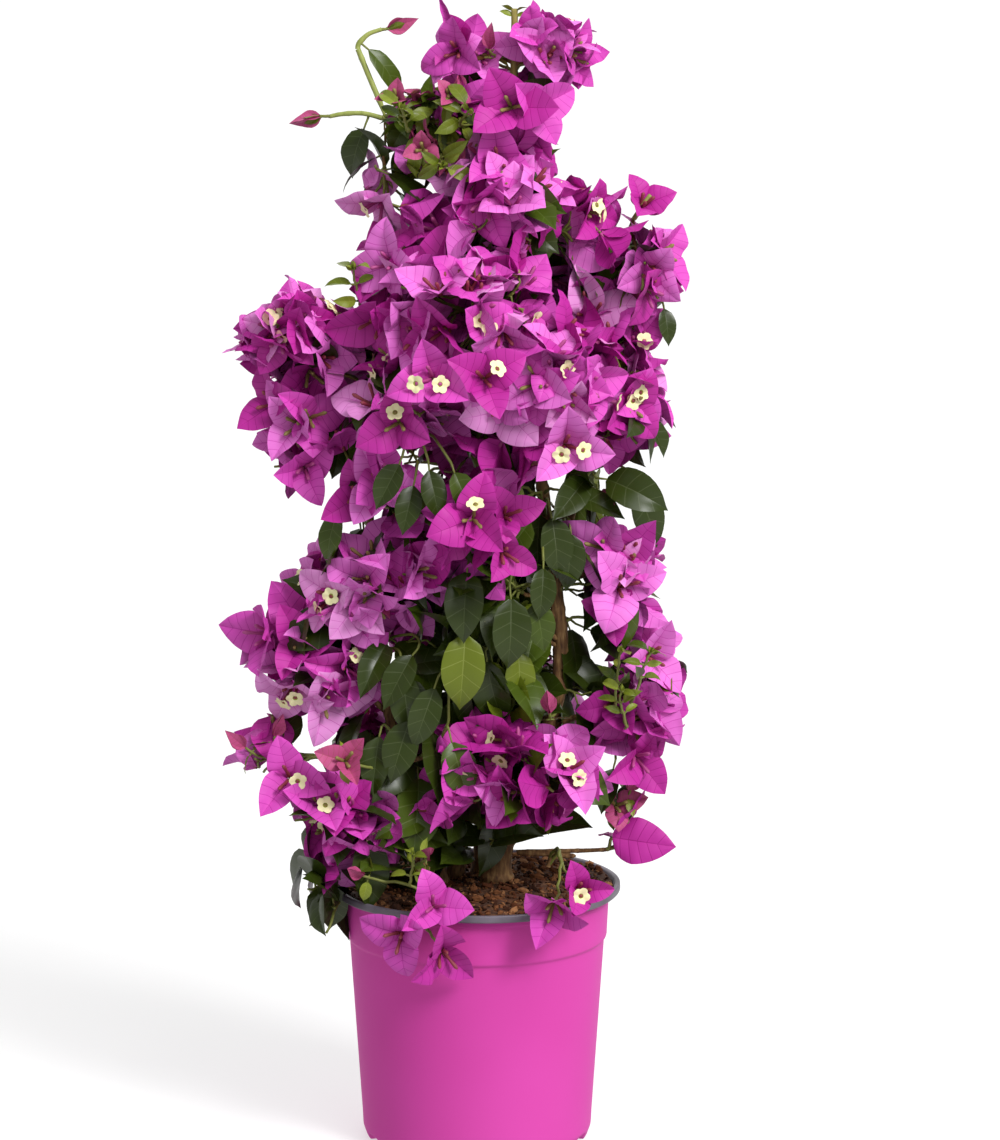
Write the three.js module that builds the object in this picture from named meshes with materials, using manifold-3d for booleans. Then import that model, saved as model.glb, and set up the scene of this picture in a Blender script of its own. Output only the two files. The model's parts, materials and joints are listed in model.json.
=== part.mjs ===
import * as THREE from 'three';
import { mergeVertices } from 'three/addons/utils/BufferGeometryUtils.js';
import Module from 'manifold-3d';

// A bougainvillea trained as a slim column, in its plastic pot. Millimetres, +Z up.
// The origin is the centre of the pot's flat underside. +X is the plant's right seen from
// the front, and the front faces -Y.

const wasm = await Module();
wasm.setup();

// Driving dimensions
const clearance = 0.4; // gap left between neighbouring pieces
const potHeight = 154; // underside to the top of the grey rim
const rimRadius = 85; // outer edge of the grey rim
const rimDepth = 4.5; // height of the grey rim's band
const collarTop = 149; // top of the coloured pot's collar
const collarBottom = 122;
const collarRadius = 78.6; // at its top
const collarTaper = 1.4; // how much narrower the collar is at its bottom
const collarStep = 1.6; // how far the collar stands out from the wall below it
const footRadius = 68.5; // where the wall meets the rounded foot
const footHeight = 14;
const baseRadius = 66; // flat underside
const wallThickness = 2;
const floorThickness = 4;
const soilDrop = 3.5; // soil level below the rim's top
const potSides = 28;
const notchCount = 8; // small arched notches round the foot
const notchWidth = 12;
const notchHeight = 3;
const notchDepth = 5;

const soilTop = potHeight - soilDrop;
const limbSides = 6;
const millimetresPerRing = 34; // length of one facet ring along a limb

const plastic = { color: 0xdd4fae, roughness: 0.45, metalness: 0 };
const greyPlastic = { color: 0x5d565e, roughness: 0.5, metalness: 0 };
const peat = { color: 0x5a3318, roughness: 0.95, metalness: 0 };
const bark = { color: 0x7a5632, roughness: 0.85, metalness: 0 };
const greenBark = { color: 0x8b9a48, roughness: 0.7, metalness: 0 };
const blossom = { color: 0xb43aa5, roughness: 0.8, metalness: 0 };
const greenery = { color: 0x3c5220, roughness: 0.6, metalness: 0 };
const youngGrowth = { color: 0x9a6a4c, roughness: 0.7, metalness: 0 };

const group = new THREE.Group();

function addPiece(name, geometry, finish) {
  const mesh = new THREE.Mesh(geometry, new THREE.MeshStandardMaterial(finish));
  mesh.name = name;
  group.add(mesh);
}

// Solids

function signedVolume(positions, index) {
  const a = new THREE.Vector3();
  const b = new THREE.Vector3();
  const c = new THREE.Vector3();
  let total = 0;
  for (let i = 0; i < index.length; i += 3) {
    a.fromArray(positions, index[i] * 3);
    b.fromArray(positions, index[i + 1] * 3);
    c.fromArray(positions, index[i + 2] * 3);
    total += a.dot(b.cross(c)) / 6;
  }
  return total;
}

function toSolid(source) {
  const bare = source.clone();
  bare.deleteAttribute('normal');
  bare.deleteAttribute('uv');
  const merged = mergeVertices(bare, 1e-4);
  const vertProperties = new Float32Array(merged.attributes.position.array);
  const triVerts = new Uint32Array(merged.index.array);
  if (signedVolume(vertProperties, triVerts) < 0) {
    triVerts.reverse();
  }
  return new wasm.Manifold(new wasm.Mesh({ numProp: 3, vertProperties, triVerts }));
}

function toGeometry(solid) {
  const mesh = solid.getMesh();
  const geometry = new THREE.BufferGeometry();
  geometry.setAttribute('position', new THREE.BufferAttribute(mesh.vertProperties, 3));
  geometry.setIndex(new THREE.BufferAttribute(mesh.triVerts, 1));
  return geometry;
}

// The one closed body that a cut leaves is its largest; slivers cut loose are dropped.
function largestBody(solid) {
  const bodies = solid.decompose();
  return bodies.reduce((best, next) => (next.volume() > best.volume() ? next : best));
}

function turned(profile) {
  const points = profile.map(([radius, height]) => new THREE.Vector2(radius, height));
  const geometry = new THREE.LatheGeometry(points, potSides);
  geometry.rotateX(Math.PI / 2);
  return geometry;
}

// Pot

const collarFootRadius = collarRadius - collarTaper;
const wallTopRadius = collarFootRadius - collarStep;

function makePot() {
  const shell = toSolid(turned([
    [0, 0],
    [baseRadius, 0],
    [footRadius - 0.6, footHeight / 2],
    [footRadius, footHeight],
    [wallTopRadius, collarBottom - collarStep],
    [collarFootRadius, collarBottom],
    [collarRadius, collarTop],
    [collarRadius - wallThickness, collarTop],
    [wallTopRadius - wallThickness, collarBottom - collarStep],
    [footRadius - wallThickness, footHeight],
    [baseRadius - wallThickness, floorThickness],
    [0, floorThickness],
  ]));
  const notch = new THREE.BoxGeometry(notchDepth * 2, notchWidth, notchHeight * 2);
  notch.translate(baseRadius, 0, 0);
  let cut = shell;
  for (let i = 0; i < notchCount; i += 1) {
    const turn = notch.clone().rotateZ(((i + 0.5) / notchCount) * Math.PI * 2);
    cut = cut.subtract(toSolid(turn));
  }
  addPiece('pot', toGeometry(largestBody(cut)), plastic);
}

// The grey grow pot that stands in the coloured one and shows only as its rim.
const liningTopRadius = wallTopRadius - wallThickness - clearance;
const liningFootRadius = baseRadius - wallThickness - 3;
const liningBottom = floorThickness + clearance;
const rimBottom = potHeight - rimDepth;

function makeInnerPot() {
  addPiece('inner_pot', turned([
    [0, liningBottom],
    [liningFootRadius, liningBottom],
    [liningTopRadius, collarBottom - collarStep],
    [liningTopRadius + collarStep, rimBottom],
    [rimRadius, rimBottom],
    [rimRadius, potHeight],
    [rimRadius - wallThickness - 1, potHeight],
    [liningTopRadius, rimBottom - 2],
    [liningTopRadius - wallThickness, collarBottom - collarStep],
    [liningFootRadius - wallThickness, liningBottom + wallThickness],
    [0, liningBottom + wallThickness],
  ]), greyPlastic);
}

function makeSoil() {
  const bottom = liningBottom + wallThickness + clearance;
  const side = wallThickness + clearance * 1.5;
  addPiece('soil', turned([
    [0, bottom],
    [liningFootRadius - side, bottom],
    [liningTopRadius - side, collarBottom - collarStep],
    [liningTopRadius - side + 1, rimBottom - 2],
    [liningTopRadius - side + 2, soilTop],
    [0, soilTop],
  ]), peat);
}

// The space that the pot and its soil take, with the clearance, for trimming what hangs by it.
function potEnvelope() {
  return toSolid(turned([
    [0, -1],
    [footRadius + 1, -1],
    [collarRadius + 1, rimBottom - 3],
    [rimRadius + clearance, rimBottom - clearance],
    [rimRadius + clearance, potHeight + clearance],
    [0, potHeight + clearance],
  ]));
}

// Limbs

const groundCut = new THREE.BoxGeometry(400, 400, 40);
groundCut.translate(0, 0, soilTop + 0.3 - 20);
const belowSoil = toSolid(groundCut);

// One tapering limb: a closed cylinder bent along a smooth curve through a few points. A limb
// that comes out of the soil flares at its foot.
function bentLimb(limb, extra) {
  const curve = new THREE.CatmullRomCurve3(limb.path.map((p) => new THREE.Vector3(...p)));
  const length = curve.getLength();
  const rings = Math.max(3, Math.round(length / millimetresPerRing));
  const frames = curve.computeFrenetFrames(rings, false);
  const geometry = new THREE.CylinderGeometry(1, 1, 1, limbSides, rings);
  const position = geometry.attributes.position;
  for (let i = 0; i < position.count; i += 1) {
    const along = position.getY(i) + 0.5;
    const ring = Math.round(along * rings);
    const taper = THREE.MathUtils.lerp(limb.thick, limb.thin, along ** 0.7) / 2;
    const flare = (limb.flare ?? 0) * Math.exp((-along * length) / (limb.thick * 1.5));
    const radius = taper + flare + extra;
    const place = curve.getPointAt(along);
    place.addScaledVector(frames.normals[ring], position.getX(i) * radius);
    place.addScaledVector(frames.binormals[ring], position.getZ(i) * radius);
    position.setXYZ(i, place.x, place.y, place.z);
  }
  return toSolid(geometry);
}

const stems = [
  {
    name: 'main_stem', thick: 13, thin: 4, flare: 5,
    path: [
      [10, 4, soilTop - 6], [11, 3, soilTop + 14], [28, -2, 208], [46, -8, 258], [50, -9, 296],
      [44, -7, 346], [36, -3, 410], [30, 0, 480], [26, -2, 550], [22, -6, 612], [22, -8, 668],
    ],
  },
  {
    name: 'second_stem', thick: 10, thin: 4, flare: 3,
    path: [
      [-14, 9, soilTop - 6], [-13, 10, soilTop + 14], [4, 15, 226], [30, 14, 288],
      [48, 13, 340], [60, 4, 396], [66, -4, 446],
    ],
  },
  {
    name: 'left_stem', thick: 9, thin: 3.6, flare: 3,
    path: [
      [-20, -8, soilTop - 6], [-22, -9, soilTop + 14], [-40, -12, 214], [-54, -14, 268],
      [-60, -12, 330], [-62, -8, 392], [-58, -6, 440],
    ],
  },
  {
    name: 'back_stem', thick: 9, thin: 3.6, flare: 3,
    path: [
      [2, 28, soilTop - 6], [2, 29, soilTop + 14], [6, 40, 236], [2, 47, 310], [-2, 46, 380],
      [0, 40, 446],
    ],
  },
  {
    name: 'low_stem_left', thick: 5, thin: 3, flare: 1,
    path: [[-50, -12, soilTop - 5], [-52, -13, soilTop + 6], [-70, -18, 170], [-80, -26, 196]],
  },
];

// Side boughs start a little inside the stem that bears them, and end inside a mass. Both ends
// are cut back to the clearance.
const boughs = [
  { name: 'bough_wing_left', thick: 4.4, thin: 3, path: [[-61, -9, 372], [-76, -9, 400], [-100, -9, 424]] },
  { name: 'bough_mid_left', thick: 4.4, thin: 3, path: [[-52, -14, 258], [-66, -18, 272], [-92, -20, 286]] },
  {
    name: 'bough_low_left', thick: 4.6, thin: 3,
    path: [[28, -2, 208], [2, -30, 236], [-28, -44, 240], [-64, -46, 229], [-78, -44, 222]],
  },
  { name: 'bough_low_wing', thick: 4, thin: 2.8, path: [[-40, -12, 212], [-70, -14, 228], [-112, -22, 234]] },
  { name: 'bough_mid_right', thick: 4.4, thin: 3, path: [[44, 13, 326], [64, 8, 338], [90, -2, 346]] },
  { name: 'bough_low_right', thick: 4.4, thin: 3, path: [[43, -7, 248], [62, -8, 256], [92, -8, 268]] },
  {
    name: 'bough_sprig_right', thick: 3.6, thin: 2.4,
    path: [[14, 2, 172], [40, -6, 170], [64, -8, 169], [94, -12, 184]],
  },
  {
    name: 'bough_over_rim', thick: 3.8, thin: 2.6,
    path: [[-22, -9, 166], [-30, -40, 174], [-34, -74, 176], [-34, -98, 160]],
  },
];

// Green shoots that stand clear of the crown; the arching one is two limbs, split at its bend.
const shoots = [
  { name: 'shoot_arch_rise', thick: 3.6, thin: 2.6, path: [[-44, -6, 590], [-56, -4, 616], [-68, -2, 645]] },
  {
    name: 'shoot_arch_top', thick: 2.6, thin: 2.2,
    path: [[-68.6, -2, 646.6], [-62, -1, 653.5], [-44, 0, 658]],
  },
  { name: 'shoot_left', thick: 2.8, thin: 2.2, path: [[-50, -3, 604], [-70, -2, 609], [-94, 0, 603]] },
  { name: 'shoot_right', thick: 2.8, thin: 2.2, path: [[84, -6, 532], [92, -3, 550], [107, 0, 568]] },
];

// Foliage

// Repeatable pseudo-random numbers from 0 to 1.
function randomFrom(seed) {
  let state = seed * 2654435761;
  return () => {
    state = (state + 0x6d2b79f5) | 0;
    let mixed = Math.imul(state ^ (state >>> 15), 1 | state);
    mixed = (mixed + Math.imul(mixed ^ (mixed >>> 7), 61 | mixed)) ^ mixed;
    return ((mixed ^ (mixed >>> 14)) >>> 0) / 4294967296;
  };
}

const lobesPerMass = 6;
const lobeHeight = 0.34;
const lobeWidth = 0.46; // radians
const hollowDepth = 0.17;
const coarse = 1; // subdivisions of a small or hidden mass
const fine = 2; // of a large one that shapes the outline

// An ellipsoid pushed out in a few seeded lobes and drawn in between them.
function unevenMass(mass, seed, extra) {
  const random = randomFrom(seed);
  const lobes = [];
  for (let i = 0; i < lobesPerMass; i += 1) {
    const height = random() * 2 - 1;
    const turn = random() * Math.PI * 2;
    const flat = Math.sqrt(1 - height * height);
    lobes.push(new THREE.Vector3(flat * Math.cos(turn), flat * Math.sin(turn), height));
  }
  const geometry = new THREE.IcosahedronGeometry(1, mass.detail ?? coarse);
  const position = geometry.attributes.position;
  const direction = new THREE.Vector3();
  for (let i = 0; i < position.count; i += 1) {
    direction.fromBufferAttribute(position, i).normalize();
    let swell = 1 - hollowDepth;
    for (const lobe of lobes) {
      const angle = direction.angleTo(lobe);
      swell += lobeHeight * Math.exp(-(angle * angle) / (2 * lobeWidth * lobeWidth));
    }
    position.setXYZ(
      i,
      mass.at[0] + direction.x * (mass.size[0] * swell + extra),
      mass.at[1] + direction.y * (mass.size[1] * swell + extra),
      mass.at[2] + direction.z * (mass.size[2] * swell + extra),
    );
  }
  return toSolid(geometry);
}

// Each mass: its centre, and its half width, half depth and half height.
const masses = [
  // The tip
  { name: 'tip_left', at: [-5, -6, 646], size: [15, 17, 16], finish: blossom },
  { name: 'tip_right', at: [53, -8, 643], size: [22, 20, 19], finish: blossom },
  { name: 'tip_centre', at: [26, -14, 613], size: [29, 27, 21], finish: blossom },
  { name: 'tip_young', at: [-22, -6, 602], size: [30, 25, 21], finish: youngGrowth },
  // The upper crown
  { name: 'crown_left_shoulder', at: [-60, -10, 566], size: [25, 28, 30], finish: blossom },
  { name: 'crown_upper_front', at: [4, -36, 552], size: [39, 38, 36], detail: fine, finish: blossom },
  { name: 'crown_upper_right', at: [56, -14, 546], size: [30, 35, 29], detail: fine, finish: blossom },
  { name: 'crown_right_shoulder', at: [93, -8, 520], size: [28, 34, 28], detail: fine, finish: blossom },
  { name: 'crown_front', at: [2, -58, 486], size: [44, 42, 40], finish: blossom },
  { name: 'crown_left', at: [-48, -24, 500], size: [30, 34, 32], finish: blossom },
  { name: 'crown_front_left', at: [-48, -46, 436], size: [36, 40, 40], detail: fine, finish: blossom },
  { name: 'crown_front_right', at: [46, -52, 452], size: [40, 42, 46], detail: fine, finish: blossom },
  { name: 'crown_right', at: [84, -12, 450], size: [32, 42, 52], detail: fine, finish: blossom },
  { name: 'crown_back_top', at: [14, 28, 584], size: [40, 32, 46], detail: fine, finish: blossom },
  { name: 'crown_back_left', at: [-34, 44, 494], size: [38, 40, 52], finish: blossom },
  { name: 'crown_back_right', at: [50, 46, 502], size: [42, 40, 50], finish: blossom },
  { name: 'crown_back_low', at: [2, 62, 414], size: [52, 36, 40], finish: blossom },
  { name: 'wing_left_upper', at: [-112, -10, 480], size: [30, 32, 30], detail: fine, finish: blossom },
  { name: 'wing_left_lower', at: [-100, -8, 422], size: [23, 29, 34], finish: blossom },
  // The middle
  { name: 'centre_front', at: [2, -68, 376], size: [36, 31, 31], finish: blossom },
  { name: 'leaf_heart', at: [10, -30, 322], size: [40, 36, 44], detail: fine, finish: greenery },
  { name: 'mid_left', at: [-78, -22, 338], size: [46, 36, 32], finish: blossom },
  { name: 'mid_left_low', at: [-96, -18, 284], size: [44, 34, 32], detail: fine, finish: blossom },
  { name: 'mid_right', at: [91, -6, 346], size: [23, 30, 32], finish: blossom },
  { name: 'mid_right_low', at: [97, -6, 268], size: [25, 32, 48], detail: fine, finish: blossom },
  { name: 'mid_back_left', at: [-42, 46, 322], size: [38, 36, 42], finish: blossom },
  { name: 'mid_back_right', at: [24, 66, 336], size: [33, 34, 44], finish: blossom },
  // The foot of the plant
  { name: 'low_wing_left', at: [-116, -24, 232], size: [29, 26, 23], finish: blossom },
  { name: 'low_left', at: [-70, -44, 204], size: [36, 33, 32], finish: blossom },
  { name: 'low_front', at: [28, -48, 228], size: [48, 42, 38], detail: fine, finish: blossom },
  { name: 'low_back_left', at: [-46, 44, 226], size: [36, 34, 40], finish: blossom },
  { name: 'low_back_right', at: [32, 58, 236], size: [34, 34, 42], finish: blossom },
  { name: 'sprig_low_right', at: [97, -14, 188], size: [17, 17, 17], finish: blossom },
  { name: 'leaves_low_left', at: [-92, -34, 156], size: [18, 25, 24], finish: greenery },
  { name: 'over_rim_left', at: [-30, -100, 146], size: [29, 14, 30], finish: blossom },
  { name: 'over_rim_right', at: [49, -86, 160], size: [22, 14, 23], finish: blossom },
  // Buds and a small bloom at the ends of the green shoots
  { name: 'bud_top', at: [-43, 0, 658], size: [10, 5, 5.5], finish: youngGrowth },
  { name: 'bud_left', at: [-94, 0, 603], size: [11, 5, 6], finish: youngGrowth },
  { name: 'bloom_right', at: [107, 0, 569], size: [11, 8, 8], finish: blossom },
  // Between the wing and the middle of the crown
  { name: 'crown_low_left', at: [-62, -34, 394], size: [19, 24, 25], finish: blossom },
];

function boxesTouch(a, b) {
  const one = a.boundingBox();
  const two = b.boundingBox();
  return [0, 1, 2].every((axis) => one.min[axis] < two.max[axis] && two.min[axis] < one.max[axis]);
}

function cutBy(solid, cutters) {
  let rest = solid;
  for (const cutter of cutters) {
    if (boxesTouch(rest, cutter)) {
      rest = rest.subtract(cutter);
    }
  }
  return largestBody(rest);
}

function makePlant() {
  const envelope = potEnvelope();
  const grownStems = stems.map((stem) => bentLimb(stem, clearance));
  const grownMasses = masses.map((mass, i) => unevenMass(mass, i + 1, clearance));
  for (const stem of stems) {
    addPiece(stem.name, toGeometry(cutBy(bentLimb(stem, 0), [belowSoil])), bark);
  }
  for (const bough of boughs) {
    const cut = cutBy(bentLimb(bough, 0), [...grownStems, ...grownMasses]);
    addPiece(bough.name, toGeometry(cut), bark);
  }
  for (const shoot of shoots) {
    const cut = cutBy(bentLimb(shoot, 0), grownMasses);
    addPiece(shoot.name, toGeometry(cut), greenBark);
  }
  masses.forEach((mass, i) => {
    const cutters = [envelope, ...grownStems, ...grownMasses.slice(0, i)];
    const cut = cutBy(unevenMass(mass, i + 1, 0), cutters);
    addPiece(mass.name, toGeometry(cut), mass.finish);
  });
}

makePot();
makeInnerPot();
makeSoil();
makePlant();

export default group;
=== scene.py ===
"""A potted bougainvillea: a slim column of magenta bracts over green leaves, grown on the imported
CAD limbs by a seeded branching rule. Metres, in the CAD frame."""
import json
import math

import bpy
import numpy as np
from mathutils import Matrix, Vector, noise
from mathutils.bvhtree import BVHTree


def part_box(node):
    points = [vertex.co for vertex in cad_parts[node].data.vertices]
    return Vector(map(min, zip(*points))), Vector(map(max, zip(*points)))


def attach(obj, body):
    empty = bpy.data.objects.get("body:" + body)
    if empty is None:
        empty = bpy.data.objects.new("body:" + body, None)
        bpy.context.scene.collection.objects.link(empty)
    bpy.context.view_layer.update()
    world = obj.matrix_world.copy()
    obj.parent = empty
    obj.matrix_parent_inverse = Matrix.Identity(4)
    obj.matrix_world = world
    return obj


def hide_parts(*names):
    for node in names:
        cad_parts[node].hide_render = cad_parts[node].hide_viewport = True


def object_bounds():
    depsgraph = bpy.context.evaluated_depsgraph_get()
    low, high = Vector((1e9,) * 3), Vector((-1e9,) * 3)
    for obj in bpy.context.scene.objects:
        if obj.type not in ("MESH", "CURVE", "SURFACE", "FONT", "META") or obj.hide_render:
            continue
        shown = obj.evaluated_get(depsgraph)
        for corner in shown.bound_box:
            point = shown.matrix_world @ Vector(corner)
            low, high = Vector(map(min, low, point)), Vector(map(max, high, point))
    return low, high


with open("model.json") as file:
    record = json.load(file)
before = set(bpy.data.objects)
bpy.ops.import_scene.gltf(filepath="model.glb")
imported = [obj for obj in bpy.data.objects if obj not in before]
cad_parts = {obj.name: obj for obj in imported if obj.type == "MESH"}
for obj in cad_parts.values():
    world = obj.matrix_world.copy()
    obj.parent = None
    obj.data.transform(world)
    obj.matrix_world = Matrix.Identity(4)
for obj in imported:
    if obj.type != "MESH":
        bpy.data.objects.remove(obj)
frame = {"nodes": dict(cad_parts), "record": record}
cad_box = [list(corner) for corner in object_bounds()]

MM = 0.001
UP = np.array([0.0, 0.0, 1.0])
FRONT = np.array([0.0, -1.0, 0.0])
WHITE = (1, 1, 1, 1)
rng = np.random.default_rng(20)


def set_inputs(node, values):
    """Gives a shader node's inputs their values, by name."""
    for name, value in values.items():
        node.inputs[name].default_value = value


# ---------------------------------------------------------------- camera and light

def make_camera():
    """Looks slightly down from the height of the plant's tip."""
    data = bpy.data.cameras.new("camera")
    data.lens = 131.05
    data.sensor_width = 36
    data.clip_end = 200
    camera = bpy.data.objects.new("camera", data)
    camera.location = (0.0137, -2.4, 0.75)
    camera.rotation_euler = (math.radians(90 - 9.67), 0, 0)
    bpy.context.collection.objects.link(camera)
    bpy.context.scene.camera = camera


def towards_light(azimuth, elevation):
    """The direction of a lamp: azimuth is turned right from the camera."""
    turn, rise = math.radians(azimuth), math.radians(elevation)
    return Vector((math.sin(turn) * math.cos(rise), -math.cos(turn) * math.cos(rise), math.sin(rise)))


def add_lamp(name, kind, energy, direction):
    """A lamp of the kind given that shines from a direction."""
    data = bpy.data.lights.new(name, kind)
    data.energy = energy
    lamp = bpy.data.objects.new(name, data)
    lamp.rotation_euler = direction.to_track_quat("Z", "Y").to_euler()
    bpy.context.collection.objects.link(lamp)
    return lamp


def make_light():
    """A soft key from the right of the camera with a softbox above it, a weak light from behind,
    and a pale room."""
    key = add_lamp("key", "SUN", 1.95, towards_light(42, 38))
    key.data.angle = math.radians(18)
    back = add_lamp("back", "SUN", 0.9, towards_light(185, 38))
    back.data.angle = math.radians(60)
    direction = towards_light(36, 44)
    softbox = add_lamp("softbox", "AREA", 15, direction)
    softbox.data.shape = "DISK"
    softbox.data.size = 1.3
    softbox.location = Vector((0, 0, 0.4)) + direction * 1.7
    world = bpy.data.worlds.new("room")
    world.use_nodes = True
    set_inputs(world.node_tree.nodes["Background"], {"Color": WHITE, "Strength": 0.54})
    bpy.context.scene.world = world
    bpy.context.scene.view_settings.view_transform = "Standard"


def make_floor():
    """A pale floor that glows a little, so that shadows on it stay faint, and throws no light up."""
    size = 60
    mesh = bpy.data.meshes.new("floor")
    corners = [(-size, -size, 0), (size, -size, 0), (size, size, 0), (-size, size, 0)]
    mesh.from_pydata(corners, [], [(0, 1, 2, 3)])
    floor = bpy.data.objects.new("floor", mesh)
    floor.location.z = cad_box[0][2]
    bpy.context.collection.objects.link(floor)
    material = plain_material("floor", (188, 188, 188), 0.9, 0.0)
    shader = material.node_tree.nodes["Principled BSDF"]
    set_inputs(shader, {"Emission Color": WHITE, "Emission Strength": 0.52})
    mesh.materials.append(material)
    floor.visible_diffuse = False


# ---------------------------------------------------------------- materials

def linear(colour):
    """Screen colour, 0 to 255, as Blender's linear colour."""
    return [((c / 255 + 0.055) / 1.055) ** 2.4 if c > 10 else c / 255 / 12.92 for c in colour] + [1.0]


def principled(name):
    """A new material with its node tree and its shader."""
    material = bpy.data.materials.new(name)
    material.use_nodes = True
    return material, material.node_tree, material.node_tree.nodes["Principled BSDF"]


def plain_material(name, colour, roughness, specular=0.5, sheen=0.0):
    """A finish whose colour is dealt out by spray, so that it stays one plain colour."""
    material, _, shader = principled(name)
    tint = linear(colour)
    set_inputs(shader, {
        "Base Color": tint, "Roughness": roughness, "Specular IOR Level": specular,
        "Sheen Weight": sheen, "Sheen Tint": tint,
    })
    return material


def add_noise(tree, scale, detail=4.0, stretch=(1, 1, 1)):
    """A noise pattern from 0 to 1 in the object's own coordinates."""
    coordinates = tree.nodes.new("ShaderNodeTexCoord")
    mapping = tree.nodes.new("ShaderNodeMapping")
    set_inputs(mapping, {"Scale": stretch})
    pattern = tree.nodes.new("ShaderNodeTexNoise")
    set_inputs(pattern, {"Scale": scale, "Detail": detail})
    tree.links.new(coordinates.outputs["Object"], mapping.inputs["Vector"])
    tree.links.new(mapping.outputs["Vector"], pattern.inputs["Vector"])
    return pattern.outputs["Fac"]


def add_ramp(tree, factor, stops):
    """stops: (position, screen colour) pairs."""
    ramp = tree.nodes.new("ShaderNodeValToRGB")
    while len(ramp.color_ramp.elements) < len(stops):
        ramp.color_ramp.elements.new(0.5)
    for element, (position, colour) in zip(ramp.color_ramp.elements, stops):
        element.position = position
        element.color = linear(colour)
    tree.links.new(factor, ramp.inputs["Fac"])
    return ramp.outputs["Color"]


def add_bump(tree, shader, height, strength, distance):
    """Relief for the whole shader."""
    bump = tree.nodes.new("ShaderNodeBump")
    set_inputs(bump, {"Strength": strength, "Distance": distance})
    tree.links.new(height, bump.inputs["Height"])
    tree.links.new(bump.outputs["Normal"], shader.inputs["Normal"])


def add_range(tree, factor, low, high, start=0, end=1):
    """Spreads a factor that runs from start to end over the range from low to high."""
    spread = tree.nodes.new("ShaderNodeMapRange")
    set_inputs(spread, {"From Min": start, "From Max": end, "To Min": low, "To Max": high})
    tree.links.new(factor, spread.inputs["Value"])
    return spread.outputs["Result"]


def patterned_material(name, stops, scale, roughness, bump, stretch=(1, 1, 1)):
    """Colours from a noise ramp, with roughness and relief from noise four times as fine."""
    material, tree, shader = principled(name)
    colour = add_ramp(tree, add_noise(tree, scale, stretch=stretch), stops)
    tree.links.new(colour, shader.inputs["Base Color"])
    fine = add_noise(tree, scale * 4, stretch=stretch)
    tree.links.new(add_range(tree, fine, *roughness), shader.inputs["Roughness"])
    add_bump(tree, shader, fine, bump, 0.4 * MM)
    return material


# ---------------------------------------------------------------- gathered meshes

class Heap:
    """Many small shapes gathered as arrays into one mesh."""

    def __init__(self):
        self.points, self.loops, self.sizes, self.slots = [], [], [], []
        self.count = 0

    def add(self, points, faces, slots=0):
        """Adds points with faces that all have as many corners."""
        points = points.reshape(-1, 3)
        self.points.append(points)
        self.loops.append((faces + self.count).ravel())
        self.sizes.append(np.full(len(faces), faces.shape[1]))
        self.slots.append(np.broadcast_to(slots, len(faces)))
        self.count += len(points)

    def cap(self, rings, slots):
        """Closes the ends of what was added, each with one flat face: rings (n, sides), slots (n)."""
        self.loops.append(rings.ravel())
        self.sizes.append(np.full(len(rings), rings.shape[1]))
        self.slots.append(np.broadcast_to(slots, len(rings)))

    def piece(self, name, materials, slot, nodes=()):
        """The finished object, riding on the plant's one body."""
        mesh = bpy.data.meshes.new(name)
        points = np.concatenate(self.points).astype(np.float32)
        loops = np.concatenate(self.loops).astype(np.int32)
        sizes = np.concatenate(self.sizes).astype(np.int32)
        mesh.vertices.add(len(points))
        mesh.vertices.foreach_set("co", points.ravel())
        mesh.loops.add(len(loops))
        mesh.loops.foreach_set("vertex_index", loops)
        mesh.polygons.add(len(sizes))
        mesh.polygons.foreach_set("loop_start", np.cumsum(sizes) - sizes)
        mesh.polygons.foreach_set("loop_total", sizes)
        mesh.polygons.foreach_set("material_index", np.concatenate(self.slots).astype(np.int32))
        mesh.polygons.foreach_set("use_smooth", np.ones(len(sizes), bool))
        for material in materials:
            mesh.materials.append(material)
        mesh.update(calc_edges=True)
        mesh.validate()
        obj = bpy.data.objects.new(name, mesh)
        bpy.context.collection.objects.link(obj)
        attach(obj, "root")
        if nodes:
            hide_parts(*nodes)
        return obj


def unit(vectors):
    """Vectors scaled to a length of 1."""
    length = np.linalg.norm(vectors, axis=-1, keepdims=True)
    return vectors / np.maximum(length, 1e-9)


def round_turn(steps):
    """Even turns once round, without the last, which is the first again."""
    return np.linspace(0, 2 * np.pi, steps, endpoint=False)


def any_turn():
    """A turn drawn at random."""
    return rng.random() * 2 * np.pi


def grid_faces(rows, columns, closed=False):
    """Quads between rows x columns points; closed joins the last column to the first."""
    across = columns if closed else columns - 1
    row, column = np.meshgrid(np.arange(rows - 1), np.arange(across), indexing="ij")
    after = (column + 1) % columns
    a = row * columns + column
    b = row * columns + after
    return np.stack([a, b, b + columns, a + columns], axis=-1).reshape(-1, 4)


def repeated(faces, copies, points_each):
    """The same faces for each of several copies of a shape."""
    return (faces[None] + (np.arange(copies) * points_each)[:, None, None]).reshape(-1, faces.shape[1])


def lathe(heap, profile, sides, wobble):
    """Turns an open profile of (radius, height) about the Z axis; wobble(turn, radius, height)
    gives the radius and height back with their unevenness."""
    profile = np.array(profile)
    turn = round_turn(sides)
    radius = np.broadcast_to(profile[:, :1], (len(profile), sides)).copy()
    height = np.broadcast_to(profile[:, 1:], (len(profile), sides)).copy()
    radius, height = wobble(turn[None], radius, height)
    points = np.stack([radius * np.cos(turn), radius * np.sin(turn), height], axis=-1)
    heap.add(points, grid_faces(len(profile), sides, closed=True))


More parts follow.
